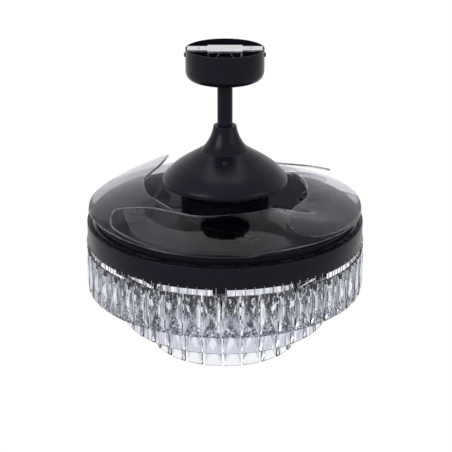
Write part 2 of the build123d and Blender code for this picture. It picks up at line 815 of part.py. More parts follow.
def blade_height(radius, arc_share):
    """Height of the middle of the sheet, by radius and share of the arc from pivot to tip."""
    turned_in = eased((arc_share - root_flat_share) / (pitch_full_share - root_flat_share))
    lifted = max(0, arc_share - tip_lift_start_share) / (1 - tip_lift_start_share)
    slope = math.tan(math.radians(blade_pitch * turned_in))
    edge_z = root_z + blade_step * turned_in + blade_tip_rise * lifted**2
    inner_radius = blade_outer_radius * camber_start_share
    inward = (blade_outer_radius - radius) / (blade_outer_radius - inner_radius)
    bow = blade_camber * turned_in * 4 * inward * (1 - inward)
    return edge_z + bow + slope * (blade_outer_radius - radius)


def blade_point(arc_share, radius_share):
    """A point of the blade's outline, seen from above, with the pivot at angle 0."""
    angle = math.radians(-blade_arc * arc_share)
    radius = blade_outer_radius * radius_share
    return (radius * math.cos(angle), radius * math.sin(angle))


def outer_tangent(arc_share):
    """Direction along the outer edge, towards the tip."""
    angle = math.radians(-blade_arc * arc_share)
    return (math.sin(angle), -math.cos(angle))


section_radii = [blade_outer_radius * share for share in (section_inner_share, section_outer_share)]
section_radii.insert(1, sum(section_radii) / 2)

with BuildPart() as blade_sweep:
    for arc_share in section_shares:
        angle = math.radians(-blade_arc * arc_share)
        radial = (math.cos(angle), math.sin(angle), 0)
        across = (math.sin(angle), -math.cos(angle), 0)
        heights = [blade_height(radius, arc_share) for radius in section_radii]
        lower = [(radius, height - blade_sheet / 2) for radius, height in zip(section_radii, heights)]
        upper = [(radius, height + blade_sheet / 2) for radius, height in zip(section_radii, heights)]
        with BuildSketch(Plane((0, 0, 0), x_dir=radial, z_dir=across)):
            with BuildLine():
                Spline(lower)
                Line(lower[-1], upper[-1])
                Spline(upper[::-1])
                Line(upper[0], lower[0])
            make_face()
    loft()

with BuildPart() as blade:
    add(blade_sweep.part)
    with BuildSketch(Plane.XY.offset(root_base_z)):
        with BuildLine():
            Polyline(
                blade_point(section_shares[0], section_inner_share),
                blade_point(section_shares[0], section_outer_share),
                blade_point(-section_shares[0], section_outer_share),
                blade_point(-section_shares[0], section_inner_share),
                close=True,
            )
        make_face()
    extrude(amount=blade_sheet)
    with BuildSketch(Plane.XY.offset(root_base_z)):
        with BuildLine():
            rounded = [blade_point(*pair) for pair in tip_end_shares[::-1] + inner_edge_shares[::-1]]
            rounded += [blade_point(*pair) for pair in root_end_shares[::-1]]
            outer_start = blade_point(outer_start_share, 1)
            outer_end = blade_point(outer_end_share, 1)
            ThreePointArc(outer_start, blade_point((outer_start_share + outer_end_share) / 2, 1), outer_end)
            Spline(outer_end, *rounded, outer_start,
                   tangents=(outer_tangent(outer_end_share), outer_tangent(outer_start_share)),
                   tangent_scalars=(1, 1))
        make_face()
        with Locations((pivot_radius, 0)):
            Circle(cap_radius - cap_round)
            Circle(spindle_radius + press_gap, mode=Mode.SUBTRACT)
    extrude(amount=blade_outer_radius, mode=Mode.INTERSECT)

for number, place in enumerate(around(blade_count, 0, 0, pivot_turn), start=1):
    save(place * blade.part, f"blade_{number}")
    save(place * pivot * blade_hub.part, f"blade_hub_{number}")
    save(place * pivot * blade_cap.part, f"blade_cap_{number}")
    save(place * pivot * pinion.part, f"blade_pinion_{number}")

# Drum ring: a band with a lip turned in at the top and a ledge for the diffuser
ledge_base_z = ring_base_z + foot_rise
ledge_top_z = ledge_base_z + foot_sheet

with BuildPart() as drum_ring:
    with BuildSketch(Plane.XY.offset(ring_base_z)):
        Circle(ring_radius)
    extrude(amount=ring_height)
    fillet(drum_ring.edges().group_by(Axis.Z)[-1], radius=rim_round)
    with BuildSketch(Plane.XY.offset(ring_base_z)):
        Circle(ring_bore_radius)
    extrude(amount=ring_height - rim_sheet, mode=Mode.SUBTRACT)
    with BuildSketch(Plane.XY.offset(ring_top_z)):
        Circle(ring_radius - rim_lip)
    extrude(amount=-rim_sheet, mode=Mode.SUBTRACT)
    with BuildSketch(Plane.XY.offset(ledge_base_z)):
        Circle(ring_bore_radius)
        Circle(ring_bore_radius - foot_lip, mode=Mode.SUBTRACT)
    extrude(amount=foot_sheet)
    with BuildSketch(Plane.XY.offset(pan_rim_top_z)):
        with PolarLocations(ring_radius - ring_screw_inset, ring_screw_count):
            Circle(ring_screw_radius + screw_gap)
    extrude(amount=rim_sheet, mode=Mode.SUBTRACT)
save(drum_ring.part, "drum_ring")

# Light pan: stepped down in the middle to clear the gears
with BuildPart() as light_pan:
    with BuildSketch(Plane.XZ):
        with BuildLine():
            Polyline(
                (shaft_radius + press_gap, pan_top_z),
                (pan_floor_radius, pan_top_z),
                (pan_step_radius, pan_rim_top_z),
                (pan_radius, pan_rim_top_z),
                (pan_radius, pan_rim_top_z - pan_sheet),
                (pan_step_radius, pan_rim_top_z - pan_sheet),
                (pan_floor_radius, pan_base_z),
                (shaft_radius + press_gap, pan_base_z),
                close=True,
            )
        make_face()
    revolve(axis=Axis.Z)
    with BuildSketch(Plane.XY.offset(pan_rim_top_z)):
        with PolarLocations(ring_radius - ring_screw_inset, ring_screw_count):
            Circle(ring_screw_radius + screw_gap)
    extrude(amount=-pan_sheet, mode=Mode.SUBTRACT)
save(light_pan.part, "light_pan")

ring_screw_length = pan_sheet + rim_sheet - seat_gap
ring_screw = screw(ring_screw_radius, ring_screw_length, 2 * ring_screw_radius, ring_screw_radius)
ring_screw_places = around(
    ring_screw_count, ring_radius - ring_screw_inset, pan_rim_top_z - pan_sheet, tilt=180
)
save(group(ring_screw, ring_screw_places), "ring_screws")

with BuildPart() as lock_nut:
    with BuildSketch(Plane.XY):
        RegularPolygon(nut_radius, 6)
        Circle(shaft_radius + press_gap, mode=Mode.SUBTRACT)
    extrude(amount=nut_height)
nut_places = [Location((0, 0, pan_top_z)), Location((0, 0, pan_base_z - nut_height))]
save(group(lock_nut.part, nut_places), "lock_nuts")

# Light: board and driver under the pan, diffuser on the ring's ledge
save(tube(board_outer_radius, board_inner_radius, pan_base_z - board_sheet, pan_base_z), "led_board")

with BuildPart() as led_driver:
    with BuildSketch(Plane.XY.offset(pan_base_z)):
        with Locations((0, driver_offset)):
            RectangleRounded(driver_length, driver_width, driver_round)
    extrude(amount=-driver_height)
save(led_driver.part, "led_driver")

with BuildPart() as diffuser:
    with BuildSketch(Plane.XY.offset(ledge_top_z)):
        Circle(ring_bore_radius - diffuser_gap)
    extrude(amount=diffuser_sheet)
save(diffuser.part, "diffuser")

# Basket: eight bent legs under the ring's ledge, joined there by a low hoop and below by two tall ones
tab_radius = ring_bore_radius - tab_inset
upper_hoop_radius = tab_radius - leg_sheet - leg_gap
save(tube(upper_hoop_radius, upper_hoop_radius - hoop_sheet, ring_base_z, ledge_base_z), "upper_hoop")

hoop_tops = [ring_base_z - drop for drop in hoop_drops]
for name, radius, top_z in zip(("middle_hoop", "lower_hoop"), hoop_radii, hoop_tops):
    save(tube(radius, radius - hoop_sheet, top_z - hoop_height, top_z), name)

leg_face = [(tab_radius, ledge_base_z), (tab_radius, ring_base_z - tab_drop)]
for radius, top_z in zip(hoop_radii, hoop_tops):
    leg_radius = math.sqrt((radius - hoop_sheet - leg_gap) ** 2 - (leg_width / 2) ** 2)
    leg_face.append((leg_radius, top_z + leg_gap))
    leg_face.append((leg_radius, top_z - hoop_height))

with BuildPart() as basket_leg:
    with BuildSketch(Plane.XZ):
        with BuildLine():
            Polyline(*leg_face)
            offset(amount=leg_sheet, side=Side.RIGHT)
        make_face()
    extrude(amount=leg_width / 2, both=True)
save(group(basket_leg.part, around(leg_count, 0, 0, leg_turn)), "basket_legs")

# Crystals: clear prisms, hipped front and back, each on two hooks
crystal_hip = crystal_height * crystal_hip_share

with BuildPart() as crystal:
    with BuildSketch(Plane.XY):
        with BuildLine():
            Polyline(
                (crystal_edge / 2, crystal_width / 2),
                (crystal_depth / 2, 0),
                (crystal_edge / 2, -crystal_width / 2),
                (-crystal_edge / 2, -crystal_width / 2),
                (-crystal_depth / 2, 0),
                (-crystal_edge / 2, crystal_width / 2),
                close=True,
            )
        make_face()
    extrude(amount=-crystal_height)
    with BuildSketch(Plane.XZ):
        with BuildLine():
            Polyline(
                (crystal_edge / 2, 0),
                (crystal_depth / 2, -crystal_hip),
                (crystal_depth / 2, crystal_hip - crystal_height),
                (crystal_edge / 2, -crystal_height),
                (-crystal_edge / 2, -crystal_height),
                (-crystal_depth / 2, crystal_hip - crystal_height),
                (-crystal_depth / 2, -crystal_hip),
                (-crystal_edge / 2, 0),
                close=True,
            )
        make_face()
    extrude(amount=crystal_width, both=True, mode=Mode.INTERSECT)

with BuildPart() as hook:
    with BuildSketch(Plane.XY):
        Rectangle(hook_side, hook_side)
    extrude(amount=-hook_length)

hang_radii = [ring_radius - ring_wall / 2] + [radius - hoop_sheet / 2 for radius in hoop_radii]
hang_heights = [ring_base_z] + [top_z - hoop_height for top_z in hoop_tops]
for tier, count, radius, hang_z in zip(("upper", "middle", "lower"), tier_counts, hang_radii, hang_heights):
    hook_places = around(2 * count, radius, hang_z, tier_turn + 90 / count)
    save(group(hook.part, hook_places), f"hooks_{tier}")
    crystal_places = around(count, radius, hang_z - hook_length, tier_turn + 180 / count)
    save(group(crystal.part, crystal_places), f"crystals_{tier}")
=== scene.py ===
# %% [markdown]
# # A ceiling fan with folding blades and a crystal light
#
# The CAD model is the fixed frame of this scene: it says where every piece is and what moves with what.
# This script keeps the pieces that nobody sees up close, gives all of them a finish, and makes the
# visible skins, the clear blades, the hooks and the crystals anew, smoother and finer than the solids.

# %% Load the frame
import json
import math

import bmesh
import bpy
from mathutils import Matrix, Vector


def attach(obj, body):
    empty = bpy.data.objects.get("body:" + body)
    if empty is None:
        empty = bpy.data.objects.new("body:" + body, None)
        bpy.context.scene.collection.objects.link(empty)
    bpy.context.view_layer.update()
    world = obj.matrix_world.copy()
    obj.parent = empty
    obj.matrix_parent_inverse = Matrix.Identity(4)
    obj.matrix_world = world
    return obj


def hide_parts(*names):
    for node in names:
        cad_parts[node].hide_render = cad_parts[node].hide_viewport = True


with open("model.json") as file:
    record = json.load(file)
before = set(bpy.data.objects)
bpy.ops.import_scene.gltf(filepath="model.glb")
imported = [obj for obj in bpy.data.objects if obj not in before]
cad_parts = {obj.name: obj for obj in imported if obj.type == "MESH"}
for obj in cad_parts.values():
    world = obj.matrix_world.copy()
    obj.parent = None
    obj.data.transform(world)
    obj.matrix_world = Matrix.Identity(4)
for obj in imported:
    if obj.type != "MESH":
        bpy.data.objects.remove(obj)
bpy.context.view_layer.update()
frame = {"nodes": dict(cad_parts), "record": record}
mm = 0.001

# %% [markdown]
# ## The photographer's camera
#
# The drum's rim is a circle, and in a picture it turns into an ellipse. How flat the ellipse is gives the
# height of the camera: here 21 degrees above level. The camera stands 2.7 m off with a long lens, so the
# near and far edges of the drum are almost the same size. Its aim is a point on the fan's axis, and the
# picture is square, so one focal length does for both directions.

# %% Camera
camera_rise = math.radians(21.2)
camera_distance = 2.7
camera_aim = Vector((0.0018, 0, -0.3264))
focal_pixels = 1509.3
picture_pixels = 452
sensor_width = 36

camera_data = bpy.data.cameras.new("camera")
camera_data.sensor_width = sensor_width
camera_data.lens = focal_pixels / picture_pixels * sensor_width
camera_data.clip_end = 100
camera = bpy.data.objects.new("camera", camera_data)
bpy.context.scene.collection.objects.link(camera)
away = Vector((0, -math.cos(camera_rise), math.sin(camera_rise)))
camera.location = camera_aim + camera_distance * away
camera.rotation_euler = away.to_track_quat("Z", "Y").to_euler()
bpy.context.scene.camera = camera
print("lens", round(camera_data.lens, 1), "mm, camera at", [round(v, 3) for v in camera.location])

# %% [markdown]
# ## From points to a piece
#
# A new piece is a mesh with its place in its vertices, so its object stays at the origin. The normals are
# made to point outwards, and a face is shaded smooth except where two faces meet at a real corner. Smooth
# shading alone would smear the light over the sharp edges, and flat shading would show every facet.

# %% Mesh helpers
corner_angle = math.radians(32)


def dressed(name, mesh, smooth=True):
    """The object for a mesh: doubles merged, normals outwards, corners kept sharp."""
    work = bmesh.new()
    work.from_mesh(mesh)
    bmesh.ops.remove_doubles(work, verts=work.verts, dist=1e-6)
    bmesh.ops.dissolve_degenerate(work, edges=work.edges, dist=1e-7)
    bmesh.ops.recalc_face_normals(work, faces=work.faces)
    for face in work.faces:
        face.smooth = smooth
    for edge in work.edges:
        if len(edge.link_faces) == 2:
            edge.smooth = edge.calc_face_angle(0) < corner_angle
    work.to_mesh(mesh)
    work.free()
    obj = bpy.data.objects.new(name, mesh)
    bpy.context.scene.collection.objects.link(obj)
    return obj


def piece_from(name, points, faces):
    """An object made of points and faces."""
    mesh = bpy.data.meshes.new(name)
    mesh.from_pydata([tuple(p) for p in points], [], faces)
    return dressed(name, mesh)


print("a corner sharper than", round(math.degrees(corner_angle)), "degrees stays sharp")

# %% [markdown]
# ## Turned sheet metal
#
# Most skins of the fan are round, so each is the section of its sheet, turned about the fan's axis. A
# press leaves no sharp corner, so the section's corners are rounded first, each with its own radius.

# %% Sections and turning
def rounded(profile, radii, steps=5):
    """An outline with its corners rounded: radii[i] is the radius at corner i, 0 where it stays sharp."""
    out = []
    count = len(profile)
    for i, point in enumerate(profile):
        corner = Vector(point)
        before = Vector(profile[i - 1]) - corner
        after = Vector(profile[(i + 1) % count]) - corner
        radius = radii[i]
        if radius <= 0:
            out.append(tuple(corner))
            continue
        half = before.angle(after) / 2
        cut = min(radius / math.tan(half), 0.49 * before.length, 0.49 * after.length)
        start = corner + before.normalized() * cut
        end = corner + after.normalized() * cut
        for k in range(steps + 1):
            t = k / steps
            out.append(tuple(start * (1 - t) ** 2 + corner * 2 * t * (1 - t) + end * t * t))
    return out


def turned(name, outline, turns=128):
    """A closed outline of (radius, height) in millimetres, turned round the fan's axis."""
    points = []
    faces = []
    size = len(outline)
    for k in range(turns):
        a = 2 * math.pi * k / turns
        for radius, height in outline:
            points.append((radius * mm * math.cos(a), radius * mm * math.sin(a), height * mm))
    for k in range(turns):
        nxt = (k + 1) % turns
        for i in range(size):
            j = (i + 1) % size
            faces.append((k * size + i, nxt * size + i, nxt * size + j, k * size + j))
    return piece_from(name, points, faces)


print("a square with round corners has", len(rounded([(1, 0), (2, 0), (2, 1), (1, 1)], [0.1] * 4)), "points")

# %% [markdown]
# ## Short ways to build node trees
#
# Materials and the tree that sets the crystals are all made of nodes. One helper makes a node and fills its
# sockets, with a number, a colour or another node's output, and a second one opens a group with named
# sockets. So a tree reads like a recipe, from its sources to its result.

# %% Node helpers
def node(tree, kind, inputs=(), **settings):
    """A new node with its settings, and with each named input set to a value or linked to a socket."""
    made = tree.nodes.new(kind)
    for setting, value in settings.items():
        setattr(made, setting, value)
    for socket, value in dict(inputs).items():
        if isinstance(value, bpy.types.NodeSocket):
            tree.links.new(value, made.inputs[socket])
        else:
            made.inputs[socket].default_value = value
    return made


def group_with(name, inputs, outputs):
    """An empty shader node group with named sockets, and its input and output nodes."""
    tree = bpy.data.node_groups.new(name, "ShaderNodeTree")
    for socket, kind, value in inputs:
        made = tree.interface.new_socket(socket, in_out="INPUT", socket_type=kind)
        made.default_value = value
    for socket, kind in outputs:
        tree.interface.new_socket(socket, in_out="OUTPUT", socket_type=kind)
    return tree, tree.nodes.new("NodeGroupInput").outputs, tree.nodes.new("NodeGroupOutput").inputs


print("node helpers ready in Blender", bpy.app.version_string)

# %% [markdown]
# ## Gloss that isn't even
#
# Black paint is only interesting in its gloss. Two effects carry it: a fine grain that breaks the
# highlight, and broad faint smudges that make it wander. Both are noise on the piece's own coordinates, so
# they turn with a blade and don't slide. Every material uses them, so they're a group, built once.

# %% Uneven gloss
def uneven_gloss_group():
    """Roughness that wanders between two values, and a fine grain for the bump."""
    tree, given, result = group_with(
        "uneven gloss",
        [("Smooth", "NodeSocketFloat", 0.2), ("Rough", "NodeSocketFloat", 0.3),
         ("Smudge scale", "NodeSocketFloat", 30), ("Grain scale", "NodeSocketFloat", 1500)],
        [("Roughness", "NodeSocketFloat"), ("Grain", "NodeSocketFloat")],
    )
    place = node(tree, "ShaderNodeTexCoord").outputs["Object"]
    smudge = node(tree, "ShaderNodeTexNoise", {"Vector": place, "Scale": given["Smudge scale"], "Detail": 4})
    spread = node(tree, "ShaderNodeMapRange", {
        "Value": smudge.outputs["Fac"], "From Min": 0.35, "From Max": 0.65,
        "To Min": given["Smooth"], "To Max": given["Rough"]})
    grain = node(tree, "ShaderNodeTexNoise", {"Vector": place, "Scale": given["Grain scale"], "Detail": 2})
    tree.links.new(spread.outputs["Result"], result["Roughness"])
    tree.links.new(grain.outputs["Fac"], result["Grain"])
    return tree


uneven_gloss = uneven_gloss_group()
print("group:", uneven_gloss.name, len(uneven_gloss.nodes), "nodes")

# %% [markdown]
# ## Dust and uneven plating
#
# No real part has one flat colour. Settled dust lightens paint a little, and plating is never the same all
# over. A soft noise blends a second colour into the first, and the amount says how strongly. Two more
# helpers make the Math and Mix nodes, which the later trees need as well.

# %% Dusted colour
def maths(tree, operation, *values):
    """The output of a Math node whose inputs are numbers or sockets."""
    return node(tree, "ShaderNodeMath", enumerate(values), operation=operation).outputs[0]


def colour_mix(tree, factor, a, b, **settings):
    """The output of a Mix node for colours."""
    return node(tree, "ShaderNodeMix", {"Factor": factor, "A": a, "B": b}, data_type="RGBA",
                **settings).outputs["Result"]


def dusted_colour_group():
    """A colour that lightens a little in soft patches, as settled dust or uneven plating does."""
    tree, given, result = group_with(
        "dusted colour",
        [("Colour", "NodeSocketColor", (0.5, 0.5, 0.5, 1)), ("Dust", "NodeSocketColor", (0.6, 0.6, 0.6, 1)),
         ("Amount", "NodeSocketFloat", 0.1), ("Patch scale", "NodeSocketFloat", 25)],
        [("Colour", "NodeSocketColor")],
    )
    place = node(tree, "ShaderNodeTexCoord").outputs["Object"]
    patch = node(tree, "ShaderNodeTexNoise", {"Vector": place, "Scale": given["Patch scale"], "Detail": 6})
    amount = maths(tree, "MULTIPLY", patch.outputs["Fac"], given["Amount"])
    tree.links.new(colour_mix(tree, amount, given["Colour"], given["Dust"]), result["Colour"])
    return tree


dusted_colour = dusted_colour_group()
print("group:", dusted_colour.name, len(dusted_colour.nodes), "nodes")

# %% [markdown]
# ## What a facet shows
#
# A cut crystal has hardly any colour of its own. Each facet shows another piece of the room, so a lavender
# patch stands beside a dark one and a white one. One clear glass gives some of that, but a plain studio has
# little in it to show. So the glass gets painted reflections in its colour, in cells: long ones on the sides,
# and small flecks on the sloped hips, dark ones of painted shade and bright ones of painted glint, both from a
# Voronoi texture that picks one of a few colours for each cell. On the real fan the two lower tiers look pale,
# so below the upper tier's foot the painted reflections are light and even.

# %% Facet tint
side_cells = 95
hip_reflection_cells = 330
cell_stretch = (1, 1, 0.3)
hip_lean = 0.03
upper_tier_foot = -0.434
# Painted reflections: each colour stands for a piece of the room that a facet mirrors, the darkest for painted
# shade and the white for painted glints.
painted_side_reflections = [(0, (0.62, 0.62, 0.69)), (0.2, (0.8, 0.86, 0.89)), (0.45, (0.88, 0.87, 0.94)), (0.65, (1, 1, 1))]
painted_hip_reflections = [(0, (0.05, 0.05, 0.07)), (0.3, (0.4, 0.4, 0.46)), (0.55, (0.75, 0.76, 0.8)), (0.8, (1, 0.99, 0.96))]
lower_painted_side_reflection = (0.74, 0.73, 0.81, 1)
lower_painted_hip_reflection = (1, 1, 1, 1)


def painted_reflection_cells(tree, vector, scale, stops):
    """Cells of one painted reflection colour each, picked at random out of a list of (share, colour)."""
    cells = node(tree, "ShaderNodeTexVoronoi", {"Vector": vector, "Scale": scale})
    pick = node(tree, "ShaderNodeSeparateColor", {"Color": cells.outputs["Color"]})
    ramp = node(tree, "ShaderNodeValToRGB", {"Fac": pick.outputs["Red"]})
    ramp.color_ramp.interpolation = "CONSTANT"
    while len(ramp.color_ramp.elements) < len(stops):
        ramp.color_ramp.elements.new(0.5)
    for element, (share, colour) in zip(ramp.color_ramp.elements, stops):
        element.position = share
        element.color = (*colour, 1)
    return ramp.outputs["Color"]


def painted_facet_reflection_group():
    """Painted reflections: long lavender and grey-green patches on a crystal's sides, small dark flecks and bright
    glints on its upper hips.
    """
    tree, given, result = group_with(
        "facet tint", [("Clear", "NodeSocketColor", (0.9, 0.92, 0.95, 1))], [("Colour", "NodeSocketColor")])
    place = node(tree, "ShaderNodeTexCoord").outputs
    stretch = node(tree, "ShaderNodeVectorMath", {0: place["Object"], 1: cell_stretch}, operation="MULTIPLY")
    # The two cell textures are painted reflections: long patches on the sides, and small dark and bright flecks on
    # the hips.
    sides = painted_reflection_cells(tree, stretch.outputs["Vector"], side_cells, painted_side_reflections)
    hip_reflections = painted_reflection_cells(tree, place["Object"], hip_reflection_cells, painted_hip_reflections)
    facing = node(tree, "ShaderNodeSeparateXYZ", {0: place["Normal"]}).outputs["Z"]
    on_hip = maths(tree, "GREATER_THAN", maths(tree, "ABSOLUTE", facing), hip_lean)
    height = node(tree, "ShaderNodeSeparateXYZ", {0: place["Object"]}).outputs["Z"]
    high = maths(tree, "GREATER_THAN", height, upper_tier_foot)
    # Below the upper tier's foot the painted reflection is light and even.
    side_reflection = colour_mix(tree, high, lower_painted_side_reflection, sides)
    hip_reflection = colour_mix(tree, high, lower_painted_hip_reflection, hip_reflections)
    reflection_colour = colour_mix(tree, on_hip, side_reflection, hip_reflection)
    tree.links.new(colour_mix(tree, 1, given["Clear"], reflection_colour, blend_type="MULTIPLY"), result["Colour"])
    return tree


painted_facet_reflection = painted_facet_reflection_group()
print("group:", painted_facet_reflection.name, len(painted_facet_reflection.nodes), "nodes")

# %% [markdown]
# ## One way to make a finish
#
# Paint, plating, plastic and glass differ in numbers and not in kind: each has a colour with dust in it, a
# gloss that wanders and a grain. So one function builds them all from the two groups. What is the same all
# over, such as metal or not, is set on the shader's own socket.

# %% Finish function
grain_depth = 0.0005
finishes = {}


def finish(name, colour, dust, dust_amount, smooth, rough, grain_scale=1500, grain_height=0.02,
           patch_scale=25, smudge_scale=30, **sockets):
    """A material whose colour and gloss both vary over the surface."""
    material = bpy.data.materials.new(name)
    material.use_nodes = True
    tree = material.node_tree
    shader = tree.nodes["Principled BSDF"]
    colours = node(tree, "ShaderNodeGroup", node_tree=dusted_colour)
    for socket, value in (("Colour", (*colour, 1)), ("Dust", (*dust, 1)), ("Amount", dust_amount),
                          ("Patch scale", patch_scale)):
        colours.inputs[socket].default_value = value
    gloss = node(tree, "ShaderNodeGroup", node_tree=uneven_gloss)
    for socket, value in (("Smooth", smooth), ("Rough", rough), ("Smudge scale", smudge_scale),
                          ("Grain scale", grain_scale)):
        gloss.inputs[socket].default_value = value
    bump = node(tree, "ShaderNodeBump", {
        "Strength": grain_height, "Distance": grain_depth, "Height": gloss.outputs["Grain"]})
    tree.links.new(colours.outputs["Colour"], shader.inputs["Base Color"])
    tree.links.new(gloss.outputs["Roughness"], shader.inputs["Roughness"])
    tree.links.new(bump.outputs["Normal"], shader.inputs["Normal"])
    for socket, value in sockets.items():
        shader.inputs[socket.replace("_", " ")].default_value = value
    return material


print("the grain is at most", grain_depth / mm, "mm deep")

# %% [markdown]
# ## Black paint
#
# The photograph's blacks lean to blue and hardly shine, so their specular level is far below the usual 0.5.
# The motor band and the disc are smoother than the painted skins, so that they mirror the blades.

# %% Black finishes
finishes["satin_black"] = finish("satin black paint", (0.005, 0.0045, 0.0095), (0.02, 0.019, 0.028), 0.1,
                                 0.22, 0.3, 2200, 0.05, Specular_IOR_Level=0.1)
finishes["gloss_black"] = finish("gloss black moulding", (0.004, 0.0037, 0.007), (0.014, 0.013, 0.018), 0.1,
                                 0.03, 0.07, 900, 0.01, Specular_IOR_Level=0.05)
finishes["black_screw"] = finish("blackened screw", (0.008, 0.008, 0.009), (0.03, 0.03, 0.03), 0.3,
                                 0.3, 0.45, Specular_IOR_Level=0.2)
print(len(finishes), "black finishes")

# %% [markdown]
# ## Plastics, the board and the magnets
#
# Nylon, the white resist of a circuit board and an opal diffuser are all matt and a little uneven. Ferrite
# is a black ceramic, so the magnets belong here and not with the metals. They differ in numbers only, so
# each is a row of a table: its two colours, the amount of the second, smooth and rough, and the grain.

# %% Matt finishes
for slot, *look in (
    ("nylon", "natural nylon", (0.68, 0.66, 0.58), (0.78, 0.77, 0.72), 0.5, 0.35, 0.5, 1600, 0.08),
    ("black_nylon", "black nylon", (0.02, 0.02, 0.02), (0.05, 0.05, 0.05), 0.4, 0.35, 0.5, 1600, 0.1),
    ("board", "white circuit board", (0.8, 0.81, 0.79), (0.7, 0.71, 0.69), 0.4, 0.3, 0.4, 900, 0.05),
    ("opal", "opal diffuser", (0.86, 0.87, 0.88), (0.8, 0.81, 0.83), 0.4, 0.35, 0.45, 1400, 0.05),
    ("magnet", "ferrite", (0.05, 0.05, 0.055), (0.12, 0.12, 0.12), 0.4, 0.5, 0.7, 1200, 0.3),
):
    finishes[slot] = finish(*look)
print(len(finishes), "finishes with the matt ones")

# %% [markdown]
# ## Metals
#
# Only the bracket, the hooks and the inner works are bare metal. A metal's colour is the colour of its
# reflection, so Metallic is 1 and the base colour is the metal's own, except for the hook wire, whose dark
# colour is a painted dark reflection. A casting is rougher than ground steel, and zinc plate shows finer
# patches, so it has two more numbers: the scale of its patches and smudges.

# %% Metals
for slot, *look in (
    ("zinc", "zinc plate", (0.5, 0.51, 0.53), (0.68, 0.68, 0.7), 0.5, 0.28, 0.45, 900, 0.06, 60, 60),
    ("casting", "die casting", (0.52, 0.53, 0.54), (0.66, 0.66, 0.67), 0.5, 0.42, 0.6, 1400, 0.3),
    ("iron", "core laminations", (0.16, 0.16, 0.17), (0.3, 0.28, 0.25), 0.4, 0.4, 0.6, 1400, 0.2),
    ("copper", "enamelled copper", (0.5, 0.17, 0.06), (0.62, 0.28, 0.12), 0.4, 0.2, 0.35, 700, 0.2),
    ("bearing_steel", "ground steel", (0.58, 0.59, 0.61), (0.7, 0.7, 0.72), 0.4, 0.15, 0.28, 2500, 0.04),
    ("bronze", "sintered bronze", (0.42, 0.27, 0.1), (0.55, 0.4, 0.2), 0.5, 0.35, 0.55, 2500, 0.2),
    # The hook wire's dark base colour is a painted reflection of the dark parts round it, not the bright wire's own
    # colour.
    ("hook_wire", "bright wire", (0.3, 0.3, 0.33), (0.5, 0.5, 0.53), 0.4, 0.1, 0.2, 2200, 0.03),
):
    finishes[slot] = finish(*look, Metallic=1.0)
print(len(finishes), "finishes with the metals")

# %% [markdown]
# ## Clear blades and cut crystals
#
# The blades are a clear smoky plastic. Real plastic has an index near 1.5, but each blade is a sheet over a
# black disc in a white studio, and the higher the index, the more white it mirrors and the greyer the disc
# looks. An index of 1.15 keeps that mirroring faint. The rim is a finish of its own, with a higher index and
# a lighter, clearer colour that is a painted highlight: a moulded edge gathers light and draws a bright line.
# A crystal is cut glass with a higher index still, and its painted reflections come from the facet group.

# %% Clear parts
finishes["blade_clear"] = finish("clear smoky blade", (0.58, 0.57, 0.62), (0.5, 0.49, 0.55), 0.4,
                                 0.005, 0.02, 120, 0.001, Transmission_Weight=1.0, IOR=1.15)
# The rim's lighter colour is a painted highlight for the bright line along a blade's edge.
finishes["blade_rim"] = finish("polished blade rim", (0.82, 0.81, 0.88), (0.92, 0.91, 0.97), 0.5,
                               0.005, 0.02, 120, 0.001, Transmission_Weight=1.0, IOR=1.4)


def cut_crystal():
    """Clear glass whose facets show painted reflections instead of one even colour."""
    material = finish("cut crystal", (0.9, 0.92, 0.95), (0.8, 0.82, 0.86), 0.3, 0.0, 0.02, 800, 0.004,
                      Transmission_Weight=1.0, IOR=1.56)
    tree = material.node_tree
    base = tree.nodes["Principled BSDF"].inputs["Base Color"]
    # The facet colours are painted reflections and glints.
    facets = node(tree, "ShaderNodeGroup", node_tree=painted_facet_reflection)
    tree.links.new(base.links[0].from_socket, facets.inputs["Clear"])
    tree.links.new(facets.outputs["Colour"], base)
    return material


finishes["crystal"] = cut_crystal()
print(len(finishes), "finishes in all")

# %% [markdown]
# ## A finish for every solid
#
# Each solid of the frame gets the finish that its record names. A new piece needs three more facts: its
# finish, the body that it moves with, and the solids that it stands in for.

# %% Finish and place of each piece
for row in frame["record"]["subparts"]:
    mesh = frame["nodes"][row["node"]].data
    mesh.materials.clear()
    mesh.materials.append(finishes[row["material_slot"]])


def worn_by(obj, slot, body, *nodes, look=None):
    """Finish, body and CAD nodes of a new piece in one step. A look is a finish other than the slot's."""
    obj.data.materials.clear()
    obj.data.materials.append(finishes[look or slot])
    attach(obj, body)
    if nodes:
        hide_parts(*nodes)
    return obj


# %% [markdown]
# ## Canopy and rod
#
# The canopy is a shallow drawn cup that hides the bracket, with a large soft corner at its foot and a hole
# for the rod. The rod is plain tube. Both are turned from their sections, with the heights and radii of the
# solids, so that they fit round the pieces that stay.

# %% Canopy and rod
canopy_radius = 68
canopy_base = -55
canopy_sheet = 1.5
canopy_hole = 13.9
canopy_inside = canopy_radius - canopy_sheet
canopy_floor = canopy_base + canopy_sheet
canopy_outline = rounded(
    [(canopy_radius, 0), (canopy_radius, canopy_base), (canopy_hole, canopy_base), (canopy_hole, canopy_floor),
     (canopy_inside, canopy_floor), (canopy_inside, 0)],
    [0.6, 18, 0.4, 0.4, 16.5, 0.6], 10,
)
worn_by(turned("canopy_skin", canopy_outline), "satin_black", "fixed", "canopy")

rod_top, rod_foot = -12.1, -166.9
rod_outer, rod_inner = 13.35, 11.15
rod_outline = rounded([(rod_outer, rod_top), (rod_outer, rod_foot), (rod_inner, rod_foot), (rod_inner, rod_top)],
                      [0.5] * 4)
worn_by(turned("rod_skin", rod_outline, 96), "satin_black", "fixed", "downrod")
print("canopy", len(canopy_outline), "points, rod", round(rod_top - rod_foot, 1), "mm long")

# %% [markdown]
# ## Curves for spun metal
#
# Under the rod a trumpet-shaped cover spreads into a bell. Such pieces are spun over a form, so their
# sections are smooth curves and not straight lines with round corners. Three helpers draw them: an arc
# through three points, a curve through any number of points, and the inner side of a sheet, which is its
# outer curve moved in by the wall.

